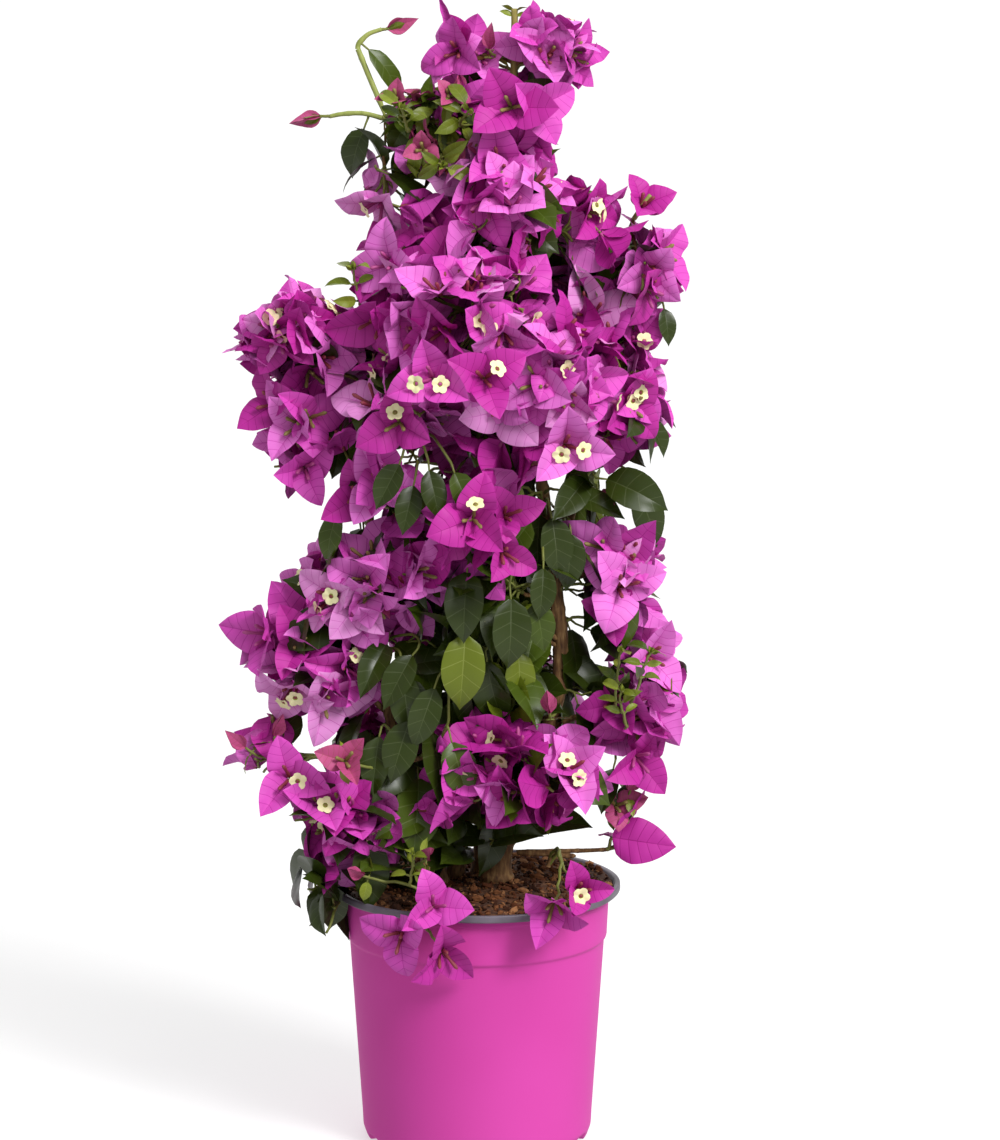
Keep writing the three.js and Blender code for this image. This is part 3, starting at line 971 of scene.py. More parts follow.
def grow_leaf(start, ways, length, tint, facing=None, slack=5 * MM):
    """A leaf in the first of several directions that keeps it inside the masses."""
    for way in ways:
        tip = start + unit(way) * length * 1.15
        blocked = any(reach_into_opening(start + (tip - start) * share) for share in (0.4, 0.7, 1.0))
        if beyond(tip) < slack and not blocked:
            add_leaf(start, unit(way), length, tint, facing)
            return


# ---- sprays over a mass

# How a mass is filled, in millimetres and shares: the distance between its sprays, the share of
# them that bloom, the length of a bract, how deep under the surface a spray ends, how far a bract's
# tip may reach out of the masses, the leaves on each spray, the share of blooms still in bud, the
# shortest and longest leaf, and the tints of its bracts and leaves with their shares.
DEFAULT_LOOK = {
    "spacing": 14, "bloom": 0.95, "bract": 31, "depth": 16, "slack": 2, "leaves": 0.15, "bud": 0.05,
    "leaf": (24, 38),
    "bract_tints": ([BRACT_PALE, BRACT_LIGHT, BRACT_MID, BRACT_DEEP], [0.12, 0.3, 0.36, 0.22]),
    "leaf_tints": ([LEAF_DARK, LEAF_MID, LEAF_OLIVE, LEAF_YOUNG], [0.5, 0.34, 0.1, 0.06]),
}
LOWER = {"leaves": 0.35, "leaf": (30, 44), "slack": 3}
BESIDE_HEART = {**LOWER, "spacing": 12}
WING = {"spacing": 11, "bract": 28, "slack": 2, "depth": 13, "bud": 0.0}
TIP = {"spacing": 11, "bract": 26, "depth": 10, "slack": 4}
LOOKS = {
    "tip_left": TIP, "tip_right": {**TIP, "slack": 6}, "tip_centre": {"bract": 31, "slack": 0},
    "crown_upper_right": {"slack": -2}, "crown_right_shoulder": {"slack": 1}, "crown_right": {"slack": 0},
    "wing_left_upper": WING, "wing_left_lower": WING,
    "crown_low_left": {"spacing": 11, "slack": 5, "leaves": 0.0},
    "tip_young": {
        "spacing": 10, "bloom": 0.6, "bract": 19, "depth": 8, "leaves": 0.9, "bud": 0.25, "leaf": (15, 25),
        "bract_tints": ([BRACT_DUSKY, BRACT_MID, BRACT_LIGHT], [0.5, 0.25, 0.25]),
        "leaf_tints": ([LEAF_YOUNG, LEAF_OLIVE, LEAF_MID], [0.3, 0.35, 0.35]),
    },
    "centre_front": {"spacing": 19, "bract": 35},
    "leaf_heart": {"spacing": 15, "bloom": 0.0, "depth": 12, "leaves": 1.0, "leaf": (34, 48)},
    "leaves_low_left": {
        "spacing": 15, "bloom": 0.0, "depth": 12, "leaves": 1.0, "leaf": (28, 36), "slack": -4,
        "leaf_tints": ([LEAF_DARK, LEAF_MID], [0.9, 0.1]),
    },
    "mid_left": {**BESIDE_HEART, "leaves": 0.1, "slack": 5},
    "mid_left_low": {**BESIDE_HEART, "leaves": 0.2, "slack": 5},
    # Painted light: this right-hand mass, where the key light falls, gets mostly pale and light bract tints
    "mid_right": {
        **BESIDE_HEART, "leaves": 0.1, "slack": 4,
        "bract_tints": ([BRACT_PALE, BRACT_LIGHT, BRACT_MID], [0.3, 0.5, 0.2]),
    },
    "mid_right_low": {**BESIDE_HEART, "leaves": 0.2, "slack": 2},
    "low_wing_left": {**LOWER, "leaves": 0.15, "slack": -3},
    "low_left": {"leaves": 0.4, "leaf": (28, 38), "spacing": 12},
    "low_front": {**LOWER, "bract": 33, "spacing": 15},
    "mid_back_left": LOWER, "mid_back_right": LOWER, "low_back_left": LOWER, "low_back_right": LOWER,
}
FEATURE_NODES = ("bud_top", "bud_left", "bloom_right", "sprig_low_right", "over_rim_left", "over_rim_right")


def pick(choice):
    """One of the values, by their shares."""
    values, odds = choice
    return rng.choice(values, p=odds)


def surface_candidates(node, count):
    """Seeded points on a mass's surface, with their outward normals."""
    mesh = frame["nodes"][node].data
    mesh.calc_loop_triangles()
    triangles = np.empty(len(mesh.loop_triangles) * 3, np.int32)
    mesh.loop_triangles.foreach_get("vertices", triangles)
    corners = node_points(node)[triangles.reshape(-1, 3)]
    cross = np.cross(corners[:, 1] - corners[:, 0], corners[:, 2] - corners[:, 0])
    area = np.linalg.norm(cross, axis=1)
    chosen = rng.choice(len(area), count, p=area / area.sum())
    a, b = rng.random((2, count))
    flip = a + b > 1
    a, b = np.where(flip, 1 - a, a), np.where(flip, 1 - b, b)
    c = corners[chosen]
    points = c[:, 0] + a[:, None] * (c[:, 1] - c[:, 0]) + b[:, None] * (c[:, 2] - c[:, 0])
    middle = node_points(node).mean(0)
    return points, unit(unit(cross[chosen]) + 0.6 * unit(points - middle))


def stem_axis(height):
    """The middle of the crown at each height, near where the main stem runs."""
    line = limb_lines["main_stem"]
    order = np.argsort(line[:, 2])
    x = np.interp(height, line[order, 2], line[order, 0])
    y = np.interp(height, line[order, 2], line[order, 1])
    return np.stack([x * 0.4, y * 0.4 + 4 * MM, height], axis=-1)


taken = []  # feet of all sprays so far, so that they keep their distance


def choose_anchors(node, spacing, depth):
    """Feet and directions of a mass's sprays, spread evenly under its outward surface."""
    low, high = mass_boxes[node]
    depth = min(depth, 0.55 * (high - low).min() / 2)
    points, normals = surface_candidates(node, 700)
    outward = points - stem_axis(points[:, 2])
    outward[:, 2] *= 0.3
    clear_of_stems = np.linalg.norm(((low + high) / 2 - stem_axis((low + high)[2] / 2))[:2]) > 60 * MM
    open_side = (np.einsum("ij,ij->i", normals, unit(outward)) > -0.3) | clear_of_stems
    anchors = []
    for point, normal in zip(points[open_side], normals[open_side]):
        foot = point - normal * depth
        clear = not taken or np.linalg.norm(np.array(taken) - foot, axis=1).min() > spacing
        if clear and not in_another(point + normal * 5 * MM, node):
            taken.append(foot)
            anchors.append((foot, normal))
    return anchors


def clusters(anchors, size):
    """Anchors grouped by nearness, so that each group shares a branch."""
    points = np.array([a[0] for a in anchors])
    groups = max(1, round(len(points) / size))
    centres = points[rng.choice(len(points), groups, replace=False)]
    for _ in range(6):
        nearest = np.argmin(np.linalg.norm(points[:, None] - centres[None], axis=2), axis=1)
        for g in range(groups):
            if (nearest == g).any():
                centres[g] = points[nearest == g].mean(0)
    members = [np.flatnonzero(nearest == g) for g in range(groups)]
    return [[anchors[i] for i in chosen] for chosen in members if len(chosen)]


def nearest_limb(point):
    """The place on a limb that a branch to the point grows from: near, and not above it."""
    best, found = 1e9, None
    for line in limb_lines.values():
        cost = np.linalg.norm(line[:, :3] - point, axis=1)
        cost = cost + 0.7 * np.clip(line[:, 2] - point[2] + 10 * MM, 0, None)
        i = int(np.argmin(cost))
        if cost[i] < best:
            ahead = line[min(i + 3, len(line) - 1), :3] - line[max(i - 3, 0), :3]
            ahead = ahead * (1 if ahead @ (point - line[i, :3]) > 0 else -1)
            best, found = cost[i], (line[i, :3], unit(ahead), line[i, 3])
    return found


def grow_mass(node):
    """Sprays all over a mass: branches from the nearest limb to groups of feet, then a twig to each
    foot, ending in a bloom or in leaves."""
    look = {**DEFAULT_LOOK, **LOOKS.get(node, {})}
    anchors = choose_anchors(node, look["spacing"] * MM, look["depth"] * MM)
    if not anchors:
        return
    middle = node_points(node).mean(0)
    for group in clusters(anchors, 4.5):
        centre = np.mean([a[0] for a in group], axis=0)
        start, heading, thick = nearest_limb(middle * 0.5 + centre * 0.5)
        fork = start * 0.3 + middle * 0.3 + centre * 0.4
        leave = unit(unit(fork - start) + 0.5 * heading)
        arrive = unit(centre - start + UP * 5 * MM)
        branch = add_twig(start, leave, fork, arrive, min(1.9 * MM, thick * 0.8), 1.2 * MM, TWIG_BROWN, 12)
        for share in (0.45, 0.75):
            i = int(share * (len(branch) - 1))
            ways = [turned_about(arrive, rng.random() * 6.28) + arrive * 0.5 for _ in range(3)]
            grow_leaf(branch[i], ways, rng.uniform(*look["leaf"]) * MM, pick(look["leaf_tints"]))
        for foot, normal in group:
            out = unit(normal + 0.2 * arrive + 0.12 * UP)
            twig = add_twig(fork, arrive, foot, out, 1.1 * MM, 0.75 * MM, TWIG_GREEN)
            if rng.random() < look["bloom"]:
                grow_blooms(foot, out, look)
            else:
                grow_leaves(foot, out, twig, 3, look)
            for _ in range(rng.poisson(look["leaves"])):
                i = int(rng.uniform(0.35, 0.9) * (len(twig) - 1))
                ways = [turned_about(out, rng.random() * 6.28) + out * rng.uniform(0, 0.7) - UP * 0.15
                        for _ in range(4)]
                grow_leaf(twig[i], ways, rng.uniform(*look["leaf"]) * MM, pick(look["leaf_tints"]))


def grow_blooms(foot, out, look):
    """One to three blooms on short stalks at a twig's end, drawn in until they fit the mass."""
    slack = look["slack"] * MM
    tint = pick(look["bract_tints"])
    count = rng.choice([1, 2, 3], p=[0.5, 0.36, 0.14])
    first = any_turn()
    for k in range(count):
        spread = 0 if count == 1 else 0.65
        aside = turned_about(out, first + k * 2 * np.pi / count)
        axis = swayed(out * math.cos(spread) + aside * math.sin(spread), 0.1)
        base = foot + axis * (3 if count == 1 else rng.uniform(8, 14)) * MM
        size = look["bract"] * rng.uniform(0.9, 1.06) * MM
        if rng.random() < look["bud"]:
            if beyond(base + axis * size * 0.6) < slack:
                add_twig(foot, out, base, axis, 0.75 * MM, 0.7 * MM, TWIG_GREEN, 5)
                add_bud(base, axis, size * 0.6, BRACT_DUSKY)
            continue
        opening, bend = rng.uniform(0.5, 0.95), rng.uniform(-0.75, 0.0)
        lean = opening - 0.5 * bend
        excess, axis, turn = fitted_bloom(base, axis, size, lean, 0.3, slack)
        if excess > slack:
            base = base - out * min(excess - slack, 16 * MM)
            size = size * (1 if excess < 12 * MM else 0.86)
            excess, axis, turn = fitted_bloom(base, axis, size, lean, 0.45, slack)
        if excess > slack + 4 * MM:
            continue
        add_twig(foot - out * 4 * MM, out, base, axis, 0.75 * MM, 0.7 * MM, TWIG_GREEN, 5)
        own = tint if rng.random() < 0.8 else pick(look["bract_tints"])
        opened = rng.choice([0, 1, 2], p=[0.78, 0.12, 0.1])
        add_flower(base, axis, size, opening, bend, own, turn, opened)


def grow_leaves(foot, out, twig, count, look, slack=6 * MM):
    """Leaves round a twig's end that hang with their upper sides turned out."""
    first = any_turn()
    for k in range(count):
        start = twig[len(twig) - 1 - 2 * k]
        ways = [turned_about(out, first + (k + t) * 2.4) * 0.8 + out * 0.6 - UP * 0.6 for t in range(3)]
        facing = unit(out * 0.9 + UP * 0.5 + rng.normal(0, 0.2, 3))
        grow_leaf(start, ways, rng.uniform(*look["leaf"]) * MM, pick(look["leaf_tints"]), facing, slack)


def grow_inner_leaves():
    """Leaves on short twigs close along the stems, which fill the heart of the plant. Most stay
    inside the masses; those low on the stems and high on the second one may stand outside."""
    look = {**DEFAULT_LOOK, "leaf": (32, 48), "leaf_tints": ([LEAF_DARK, LEAF_MID], [0.7, 0.3])}
    soil_top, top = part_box("soil")[1].z, cad_box[1][2]
    bare = 0.37  # the share of the height up to which the masses leave the stems in view
    counts = {"main_stem": 68, "second_stem": 48, "left_stem": 40, "back_stem": 36, "low_stem_left": 8}
    for node, count in counts.items():
        line = limb_lines[node]
        for i in np.linspace(len(line) * 0.04, len(line) * 0.86, count).astype(int):
            start = line[i, :3]
            heading = unit(line[min(i + 3, len(line) - 1), :3] - line[max(i - 3, 0), :3])
            aside = turned_about(heading, any_turn())
            end = start + aside * rng.uniform(12, 30) * MM + UP * rng.uniform(0, 12) * MM
            share = (start[2] - soil_top) / (top - soil_top)
            may_stand_out = share < 0.1 or (node in ("second_stem", "left_stem") and bare < share < 0.54)
            slack = (26 if may_stand_out else 14 if share < bare else 7) * MM
            if start[2] < soil_top + 8 * MM or beyond(end + aside * 24 * MM) > slack:
                continue
            twig = add_twig(start, unit(aside + heading), end, aside, 1.0 * MM, 0.7 * MM, TWIG_GREEN, 7)
            grow_leaves(end, unit(aside + 0.2 * UP), twig, 2, look, slack)


# ---- what stands clear of the crown

def limb_end(node, near):
    """The end of a limb that is nearer to a point, the direction it runs in, and its radius."""
    line = limb_lines[node]
    if np.linalg.norm(line[0, :3] - near) < np.linalg.norm(line[-1, :3] - near):
        line = line[::-1]
    return line[-1, :3], unit(line[-1, :3] - line[-5, :3]), line[-1, 3]


def stalk(node, foot, axis):
    """Carries a limb on to the foot of a bloom or bud."""
    tip, way, thick = limb_end(node, foot)
    add_twig(tip - way * MM, way, foot, axis, thick * 1.15, 0.9 * MM, TWIG_GREEN, 7)


def grown_twig(foot, axis, steps=10):
    """A twig from the nearest limb to a foot."""
    start, heading, _ = nearest_limb(foot)
    add_twig(start, heading, foot, axis, 1.1 * MM, 0.8 * MM, TWIG_GREEN, steps)


def add_sprig(foot, way, length, leaf):
    """A fresh shoot with pairs of small leaves and a few green buds at its tip."""
    line = add_twig(foot, way, foot + way * length, swayed(way, 0.3), 0.95 * MM, 0.7 * MM, TWIG_GREEN, 9)
    first = any_turn()
    for i in (2, 5, 8):
        for side in (0, np.pi):
            outward = turned_about(way, first + i * 0.9 + side + rng.normal(0, 0.3))
            tint = rng.choice([LEAF_YOUNG, LEAF_OLIVE, LEAF_MID], p=[0.4, 0.35, 0.25])
            add_leaf(
                line[i], unit(outward + way * rng.uniform(0.1, 0.9)), leaf * rng.uniform(0.6, 1.2), tint,
                unit(way + FRONT * 0.4 + rng.normal(0, 0.4, 3)), rng.uniform(-1.2, -0.2), 0.46)
    for _ in range(3):
        add_bud(line[-1], swayed(way, 0.5), leaf * 0.4, LEAF_YOUNG, leaves)


# Blooms that stand out: a node, the place from its middle as shares of its half sizes, the way the
# bloom looks, the length of its bracts in millimetres, their tint and the number of open stars.
STANDING_BLOOMS = (
    ("tip_left", (0.1, -0.4, -0.1), (-0.4, -0.8, 0.0), 23, BRACT_MID, 0),
    ("tip_left", (0.8, 0.2, -0.4), (0.1, -0.9, 0.3), 23, BRACT_LIGHT, 0),
    ("tip_right", (-0.3, -0.5, -0.25), (0.2, -0.9, 0.3), 25, BRACT_LIGHT, 0),
    ("tip_right", (0.2, -0.2, -0.2), (0.8, -0.6, 0.2), 26, BRACT_MID, 0),
    ("tip_centre", (0.0, -0.9, 0.1), (-0.1, -0.9, 0.2), 28, BRACT_DEEP, 0),
    ("tip_centre", (0.35, -0.7, 0.1), (0.6, -0.8, 0.0), 27, BRACT_MID, 0),
    ("wing_left_lower", (0.0, -0.8, 0.3), (-0.4, -0.9, 0.1), 26, BRACT_LIGHT, 0),
    ("wing_left_lower", (0.1, -0.9, -0.35), (0.1, -0.9, -0.1), 27, BRACT_MID, 0),
    ("wing_left_lower", (0.2, -0.8, 0.4), (0.3, -0.9, 0.2), 26, BRACT_MID, 0),
    ("crown_low_left", (0.3, -0.7, 0.15), (0.0, -0.9, 0.1), 29, BRACT_LIGHT, 0),
    ("crown_low_left", (0.5, -0.7, 0.3), (0.2, -0.9, 0.2), 29, BRACT_MID, 0),
    ("crown_low_left", (-0.2, -0.5, -0.1), (-0.3, -0.9, 0.0), 25, BRACT_DEEP, 0),
    ("crown_front", (-0.31, -0.85, -0.68), (-0.15, -0.95, 0.1), 29, BRACT_MID, 2),
    ("crown_front", (0.25, -0.85, -0.68), (0.1, -0.9, 0.3), 27, BRACT_DEEP, 1),
    ("crown_front_left", (-0.04, -1.0, -0.1), (-0.2, -0.95, 0.0), 27, BRACT_DEEP, 1),
    ("crown_front_right", (0.38, -0.75, -0.6), (0.2, -0.95, 0.05), 31, BRACT_LIGHT, 2),
    ("low_wing_left", (0.35, -0.7, -0.3), (-0.1, -0.9, 0.2), 29, BRACT_MID, 1),
    ("over_rim_left", (0.12, 0.35, 0.5), (0.15, -0.9, 0.35), 26, BRACT_MID, 0),
    ("over_rim_left", (-0.45, 0.4, -0.1), (-0.35, -0.9, -0.2), 26, BRACT_MID, 0),
    ("over_rim_left", (0.25, 0.35, -0.45), (0.35, -0.8, -0.4), 28, BRACT_DEEP, 0),
    ("over_rim_right", (-0.3, 0.5, 0.25), (-0.1, -0.8, -0.4), 30, BRACT_MID, 0),
    ("over_rim_right", (0.3, 0.6, 0.5), (0.4, -0.8, 0.2), 22, BRACT_DEEP, 1),
    ("centre_front", (-0.05, -0.7, 0.1), (-0.05, -0.95, 0.25), 30, BRACT_DEEP, 1),
    ("centre_front", (0.4, -0.6, -0.5), (0.4, -0.8, -0.2), 22, BRACT_DEEP, 0),
    ("centre_front", (0.45, -0.4, 0.1), (0.4, -0.8, 0.3), 23, BRACT_DEEP, 0),
    ("mid_right", (-0.05, -0.5, -0.3), (0.4, -0.85, 0.2), 32, BRACT_LIGHT, 0),
    ("mid_right", (-0.4, -0.4, 0.35), (-0.4, -0.9, 0.1), 30, BRACT_LIGHT, 0),
    ("mid_right_low", (-0.2, -0.4, -0.85), (0.3, -0.9, -0.2), 27, BRACT_DEEP, 0),
    ("mid_right_low", (-0.65, -0.3, -0.1), (0.0, -0.9, 0.1), 25, BRACT_DEEP, 0),
    ("mid_right_low", (0.0, -0.4, 0.6), (0.5, -0.8, 0.1), 28, BRACT_LIGHT, 0),
    ("mid_right_low", (-0.65, -0.3, 1.15), (-0.2, -0.8, 0.4), 22, BRACT_DEEP, 0),
    ("mid_left_low", (-0.6, -0.2, 0.6), (-0.8, -0.6, 0.1), 31, BRACT_MID, 0),
    ("wing_left_lower", (-0.45, -0.4, 0.6), (-0.7, -0.7, 0.2), 26, BRACT_DEEP, 0),
    ("crown_right_shoulder", (0.45, 0.0, 0.3), (0.9, -0.5, 0.3), 25, BRACT_MID, 0),
)

# Young blooms, most still shut, in the low part of the plant: a node, place and way as above, the
# length of the bracts in millimetres, and whether they are shut.
YOUNG_BLOOMS = (
    ("low_left", (0.0, -0.75, 1.3), (0.1, -0.9, 0.3), 19, False),
    ("mid_right_low", (-0.6, -0.2, -1.6), (0.2, -0.8, 0.3), 19, False),
    ("tip_left", (1.0, -0.4, 0.0), (0.1, -0.3, 1.0), 17, True),
    ("tip_young", (-0.7, -1.0, 0.5), (-0.4, -0.7, 0.6), 13, False),
    ("tip_young", (0.3, -1.1, 0.6), (0.3, -0.8, 0.5), 12, False),
    ("tip_young", (-0.2, -1.1, -0.6), (-0.2, -0.9, 0.2), 13, False),
    ("tip_young", (0.8, -1.0, -0.5), (0.5, -0.8, 0.2), 12, False),
    ("low_wing_left", (-0.5, -0.4, 0.5), (-0.6, -0.3, 0.6), 18, True),
    ("low_wing_left", (0.05, -0.3, 0.8), (0.3, -0.3, 0.8), 17, True),
    ("low_left", (0.95, -0.9, -0.5), (0.1, -0.7, 0.5), 16, True),
    ("low_left", (0.95, -0.9, -1.1), (0.7, -0.7, 0.1), 17, True),
    ("low_left", (0.2, -0.7, -0.9), (-0.5, -0.6, 0.4), 16, True),
    ("mid_right_low", (-0.3, -0.3, -1.35), (0.2, -0.5, 0.7), 17, True),
    ("leaf_heart", (0.9, -0.9, -1.0), (-0.1, -0.5, 0.8), 19, True),
    ("mid_right", (-0.45, -0.2, 1.3), (0.4, -0.7, -0.3), 17, True),
)

# Fresh green shoots by the wing, in the young part of the tip, and low on the right: a node, place
# and way as above, and the lengths of the shoot and of its leaves in millimetres.
SPRIGS = (
    ("wing_left_upper", (1.25, -0.4, 0.45), (-0.15, -0.2, 1.0), 26, 15),
    ("tip_young", (-0.5, -1.0, -0.1), (-0.2, -0.6, 0.8), 14, 15),
    ("tip_young", (0.5, -1.0, 0.0), (0.3, -0.8, 0.5), 16, 17),
    ("tip_young", (0.1, -1.0, -0.8), (0.1, -0.9, -0.2), 14, 19),
    ("mid_right_low", (-0.65, -1.2, 0.2), (0.1, -0.2, 1.0), 26, 13),
    ("mid_right_low", (-0.2, -1.2, 0.3), (0.3, -0.3, 0.9), 24, 14),
    ("mid_right_low", (-0.45, -1.2, -0.2), (-0.1, -0.4, 0.9), 22, 13),
    ("low_left", (0.75, -0.9, -1.0), (0.1, -0.2, 1.0), 18, 11),
)

# Leaves placed singly under the wing and the crown, on the right, and in the green heart: a node,
# place and way as above, the way the upper side looks, the length in millimetres, and the tint.
HANGING_LEAVES = (
    ("shoot_left", (0.35, 0, -0.5), (-0.35, -0.1, -0.9), (-0.5, -0.8, 0.2), 31, LEAF_DARK),
    ("crown_low_left", (-0.75, -0.2, -0.3), (-0.3, -0.2, -0.9), (-0.5, -0.8, 0.2), 31, LEAF_MID),
    ("crown_front_left", (0.0, -0.75, -0.6), (-0.3, -0.3, -0.8), (-0.1, -0.9, 0.3), 29, LEAF_DARK),
    ("crown_front_left", (0.4, -0.75, -0.65), (0.1, -0.3, -0.9), (0.1, -0.9, 0.3), 29, LEAF_DARK),
    ("crown_front_left", (0.76, -0.75, -0.7), (0.3, -0.3, -0.8), (0.2, -0.9, 0.3), 29, LEAF_MID),
    ("crown_front_left", (0.2, -0.6, -0.9), (-0.2, -0.3, -0.9), (0.0, -0.9, 0.3), 29, LEAF_DARK),
    ("wing_left_lower", (0.8, -0.6, 0.25), (0.0, -0.2, -0.9), (0.5, -0.8, 0.2), 27, LEAF_DARK),
    ("wing_left_lower", (0.6, -0.6, 0.35), (-0.3, -0.3, -0.8), (-0.2, -0.9, 0.3), 24, LEAF_DARK),
    ("mid_right", (0.25, 0.0, 1.55), (0.35, -0.1, -0.9), (0.35, -0.9, 0.2), 38, LEAF_DARK),
    ("mid_right", (-1.35, -0.4, 1.35), (0.8, -0.3, -0.2), (0.0, -0.6, 0.8), 34, LEAF_DARK),
    ("mid_right_low", (-0.35, -0.1, -1.2), (-0.1, -0.2, -0.9), (0.1, -0.9, 0.3), 26, LEAF_DARK),
    ("mid_right_low", (-0.6, -0.3, -0.9), (-0.2, -0.3, -0.8), (-0.2, -0.9, 0.3), 28, LEAF_DARK),
    ("mid_right", (-1.6, -0.7, 1.1), (0.2, -0.3, -0.9), (0.3, -0.9, 0.3), 36, LEAF_DARK),
    ("mid_right", (-1.15, -0.5, 0.8), (0.1, -0.3, -0.9), (0.2, -0.9, 0.2), 34, LEAF_DARK),
    ("mid_right", (-1.9, -0.8, 1.0), (-0.6, -0.3, -0.7), (-0.1, -0.8, 0.5), 34, LEAF_MID),
    ("crown_right", (0.75, 0.0, 0.85), (0.2, -0.2, -0.9), (0.3, -0.9, 0.3), 22, LEAF_DARK),
    ("leaf_heart", (-0.35, -0.9, 0.05), (0.0, -0.35, -0.9), (0.05, -0.95, 0.3), 46, LEAF_OLIVE),
    ("leaf_heart", (0.8, -0.7, 0.7), (0.0, -0.3, -0.9), (0.2, -0.9, 0.3), 30, LEAF_DARK),
    ("leaf_heart", (0.7, -0.7, 0.35), (0.0, -0.3, -0.9), (0.0, -0.9, 0.3), 30, LEAF_MID),
    ("leaf_heart", (-0.3, -0.8, 0.75), (-0.1, -0.4, -0.9), (-0.1, -0.9, 0.4), 42, LEAF_DARK),
    ("leaf_heart", (0.3, -0.8, 0.45), (0.1, -0.3, -0.9), (0.2, -0.9, 0.3), 42, LEAF_DARK),
    ("leaf_heart", (-1.05, -0.6, -0.3), (-0.5, -0.3, -0.6), (-0.2, -0.9, 0.3), 36, LEAF_DARK),
    ("leaf_heart", (-1.3, -0.6, -0.45), (0.1, -0.3, -0.9), (0.0, -0.9, 0.3), 38, LEAF_DARK),
    ("leaf_heart", (-0.75, -0.8, -0.6), (-0.3, -0.3, -0.8), (0.1, -0.9, 0.4), 38, LEAF_DARK),
    ("leaf_heart", (-1.15, -0.7, -1.0), (-0.2, -0.3, -0.8), (-0.1, -0.9, 0.3), 38, LEAF_DARK),
    ("leaf_heart", (-0.6, -0.8, -1.2), (0.2, -0.3, -0.8), (0.1, -0.9, 0.3), 36, LEAF_MID),
    ("leaf_heart", (-1.6, -0.6, -1.2), (-0.2, -0.3, -0.8), (-0.2, -0.9, 0.3), 36, LEAF_DARK),
)


def grow_tip_buds():
    """A bud in a ring of three small leaves at the end of each shoot that stands clear."""
    for shoot, bud in (("shoot_arch_top", "bud_top"), ("shoot_left", "bud_left")):
        middle = spot(bud, 0, 0, 0)
        way = limb_end(shoot, middle)[1]
        foot = middle - way * 7 * MM
        stalk(shoot, foot, way)
        add_bud(foot, way, 20 * MM, BRACT_DUSKY)
        for turn in (0.4, 2.5, 4.6):
            outward = turned_about(way, turn)
            add_leaf(
                foot - way * MM, unit(outward * 0.4 + way), 10 * MM, LEAF_OLIVE, unit(way - outward), 0.5)


def grow_lone_blooms():
    """The two blooms on the right that have a shoot of their own, and a bract that curls up over
    the tip."""
    foot = spot("bloom_right", -1.0, 0, -1.6)
    stalk("shoot_right", foot, UP)
    add_flower(foot, towards(0.3, -0.6, 0.5), 22 * MM, 0.6, -0.4, BRACT_DEEP, 0.9)

    # The lower bloom turns one bract to the front and one up
    foot = spot("sprig_low_right", -0.75, 0, -0.1)
    stalk("bough_sprig_right", foot, towards(1, 0, 0))
    for forward, face, length in (
        ((1.0, -0.15, -0.12), (0.1, -1.0, 0.25), 38),
        ((0.5, -0.1, 0.8), (1.0, -0.35, -0.6), 36),
        ((0.2, 0.9, -0.2), (0.1, 0.1, 1.0), 30),
    ):
        bracts.add(
            foot, np.array(forward), np.array(face), length * MM, length * 0.74 * MM, 0.15, -0.3, 0.4, 0.4,
            0.03, 0.026, BRACT_DEEP)
    bracts.add(
        spot("tip_left", 0.1, -0.3, 0.3), np.array([-0.35, -0.1, 1.0]), np.array([-0.5, -0.8, 0.0]),
        30 * MM, 9 * MM, -0.3, 1.2, 1.0, 0.0, 0.02, 0.01, BRACT_MID)


def grow_features():
    """The single blooms, buds and leaves that stand clear of the crown."""
    grow_tip_buds()
    grow_lone_blooms()
    for node, place, way, size, tint, opened in STANDING_BLOOMS:
        foot, axis = spot(node, *place), towards(*way)
        grown_twig(foot, axis, 14)
        add_flower(foot, axis, size * MM, 0.85, -0.4, tint, open_stars=opened)
    for node, place, way, size, shut in YOUNG_BLOOMS:
        foot, axis = spot(node, *place), towards(*way)
        grown_twig(foot, axis)
        if shut:
            add_bud(foot, axis, size * MM, BRACT_DUSKY)
        else:
            add_flower(foot, axis, size * MM, 0.9, -0.2, BRACT_DUSKY, tube_tint=TUBE_GREEN)
        for side in (-1, 1):
            outward = unit(turned_about(axis, side * 1.5) - axis * 0.2)
            add_leaf(foot - axis * 5 * MM, outward, 12 * MM, LEAF_YOUNG)
    for node, place, way, length, leaf in SPRIGS:
        foot, axis = spot(node, *place), towards(*way)
        grown_twig(foot, axis)
        add_sprig(foot, axis, length * MM, leaf * MM)

    # Small leaves round the very top of the main stem
    leader = limb_lines["main_stem"][-1, :3]
    for side in (-1, 1):
        for down in (2, 5, 20):
            add_leaf(leader - UP * down * MM, towards(side, -0.3, 0.6), 8 * MM, LEAF_YOUNG)

    # A narrow leaf beside the arching shoot, then the leaves of the table
    arch_end = limb_end("shoot_arch_rise", spot("shoot_arch_rise", 0, 0, 2))[0]
    add_leaf(
        arch_end + UP * 5 * MM, towards(0.7, -0.1, -0.6), 38 * MM, LEAF_MID, towards(0.5, -0.8, 0.4), -0.9,
        0.36)
    for node, place, way, facing, length, tint in HANGING_LEAVES:
        start = spot(node, *place)
        grown_twig(start, towards(*way), 9)
        add_leaf(start, towards(*way), length * MM, tint, towards(*facing), -0.4)


def make_foliage():
    """Grows the whole plant on its limbs, in the order that the random draws need."""
    read_masses()
    read_openings()
    grow_features()
    for node in mass_nodes:
        if node not in FEATURE_NODES:
            grow_mass(node)
    grow_inner_leaves()


# ---------------------------------------------------------------- meshing what has grown

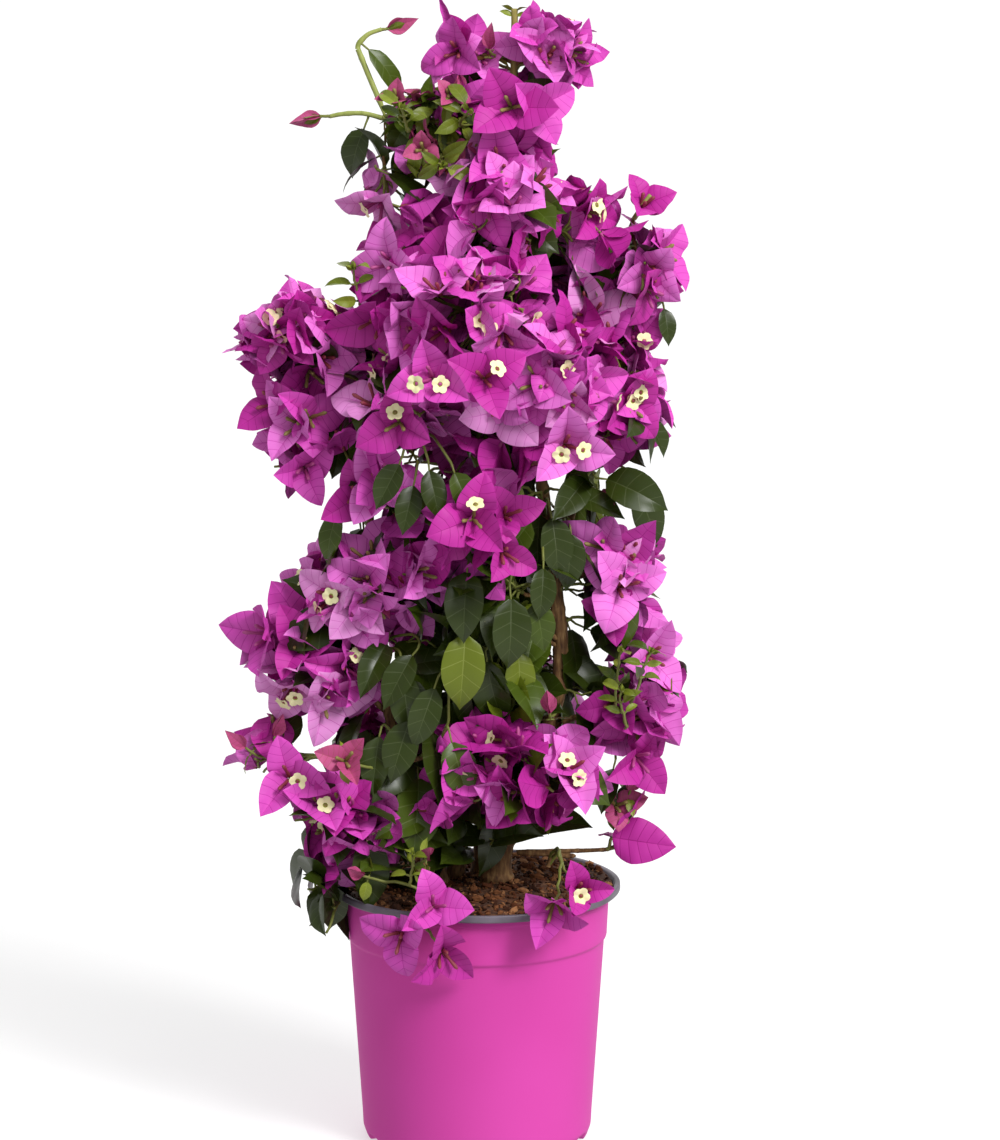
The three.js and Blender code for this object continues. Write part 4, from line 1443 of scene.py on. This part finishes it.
def mesh_twigs():
    """All twigs in one piece, those with as many points together."""
    heap = Heap()
    for steps in sorted({len(line) for line, *_ in twig_lines}):
        chosen = [row for row in twig_lines if len(row[0]) == steps]
        lines = np.array([row[0] for row in chosen])
        taper = np.linspace(0, 1, steps)
        radii = np.array([row[1] + (row[2] - row[1]) * taper for row in chosen])
        tubes(heap, lines, radii, 6, np.array([row[3] for row in chosen]))
    browns = [(0.35, (92, 62, 32)), (0.65, (140, 106, 60))]
    finishes = [
        patterned_material("twig_brown", browns, 300, (0.7, 0.9), 0.4),
        plain_material("twig_green", (112, 118, 48), 0.6),
    ]
    heap.piece("twigs", finishes, "bark")


def mesh_tubes():
    """The slender flower tubes: swollen at the foot, waisted, and wider at the mouth."""
    heap = Heap()
    share = np.array([0.0, 0.18, 0.5, 0.88, 1.0])
    shut = np.array([0.9, 1.35, 0.95, 1.3, 0.5])
    opened = np.array([0.9, 1.35, 0.95, 1.15, 1.35])
    base, along, reach, is_open, tint = (np.array(column) for column in zip(*flower_tubes))
    lines = base[:, None] + along[:, None] * (reach[:, None] * share)[..., None]
    radii = np.where(is_open[:, None], opened, shut) * MM
    tubes(heap, lines, radii, 5, tint)
    finishes = [
        plain_material("tube_red", (134, 52, 62), 0.6),
        plain_material("tube_green", (132, 116, 62), 0.6),
        plain_material("tube_pink", (168, 66, 128), 0.6),
    ]
    heap.piece("flower_tubes", finishes, "young_growth")


def mesh_stars():
    """Cream five-lobed flowers with a green eye."""
    heap = Heap()
    sectors = 20
    turn = round_turn(sectors)
    lobes = 0.78 + 0.22 * np.abs(np.cos(turn * 2.5)) ** 0.7
    rings = [(0.06, -0.04), (0.28, 0.0), (0.6, 0.14), (1.0, 0.16)]  # radius and lift of each
    faces = grid_faces(len(rings), sectors, closed=True)
    slots = np.where(np.arange(len(faces)) < sectors, STAR_EYE, STAR_CREAM)
    for centre, along, size in stars:
        a = perpendicular(along)
        b = np.cross(along, a)
        spin = any_turn()
        circle = a * np.cos(turn + spin)[:, None] + b * np.sin(turn + spin)[:, None]
        points = []
        for i, (radius, lift) in enumerate(rings):
            reach = radius * (lobes if i >= 2 else 1)
            ruffle = 0.09 * np.sin(turn * 5 + spin) * radius
            points.append(centre + circle * (size * reach * np.ones(sectors))[:, None]
                          + along * (size * (lift + ruffle))[:, None])
        heap.add(np.array(points), faces, slots)
    finishes = [
        plain_material("star_eye", (150, 156, 52), 0.7),
        plain_material("star_cream", (242, 236, 184), 0.7),
    ]
    heap.piece("flower_stars", finishes, "young_growth")


def bract_finish(name, blade, vein):
    """The materials of a bract and of its veins."""
    return [
        plain_material(f"bract_{name}", blade, 0.55, 0.25, 0.12),
        plain_material(f"bract_{name}_vein", vein, 0.6, 0.2),
    ]


def leaf_finish(name, blade, vein, roughness):
    """The materials of a leaf and of its veins."""
    return [
        plain_material(f"leaf_{name}", blade, roughness, 0.28),
        plain_material(f"leaf_{name}_vein", vein, 0.5),
    ]


def mesh_blades():
    """Bracts and leaves, each tint a piece, in place of the masses they fill."""
    in_bloom = [n for n in mass_nodes if slot_of[n] == "bract"]
    in_leaf = [n for n in mass_nodes if slot_of[n] != "bract"]
    bracts.pieces("bracts", "bract", [
        bract_finish("light", (220, 112, 202), (190, 70, 168)),
        bract_finish("mid", (204, 72, 178), (172, 42, 146)),
        bract_finish("deep", (180, 40, 148), (148, 20, 118)),
        bract_finish("dusky", (176, 72, 120), (146, 74, 84)),
        bract_finish("pale", (228, 146, 214), (206, 104, 188)),
    ], in_bloom)
    leaves.pieces("leaves", "leaf", [
        leaf_finish("dark", (44, 56, 12), (54, 66, 18), 0.3),
        leaf_finish("mid", (62, 78, 16), (74, 90, 24), 0.33),
        leaf_finish("olive", (96, 108, 24), (112, 122, 38), 0.36),
        leaf_finish("young", (122, 134, 42), (138, 148, 58), 0.42),
    ], in_leaf)


make_camera()
make_light()
make_floor()
make_pot()
make_inner_pot()
make_soil()
make_limbs()
make_foliage()
mesh_twigs()
mesh_tubes()
mesh_stars()
mesh_blades()

bpy.context.view_layer.update()
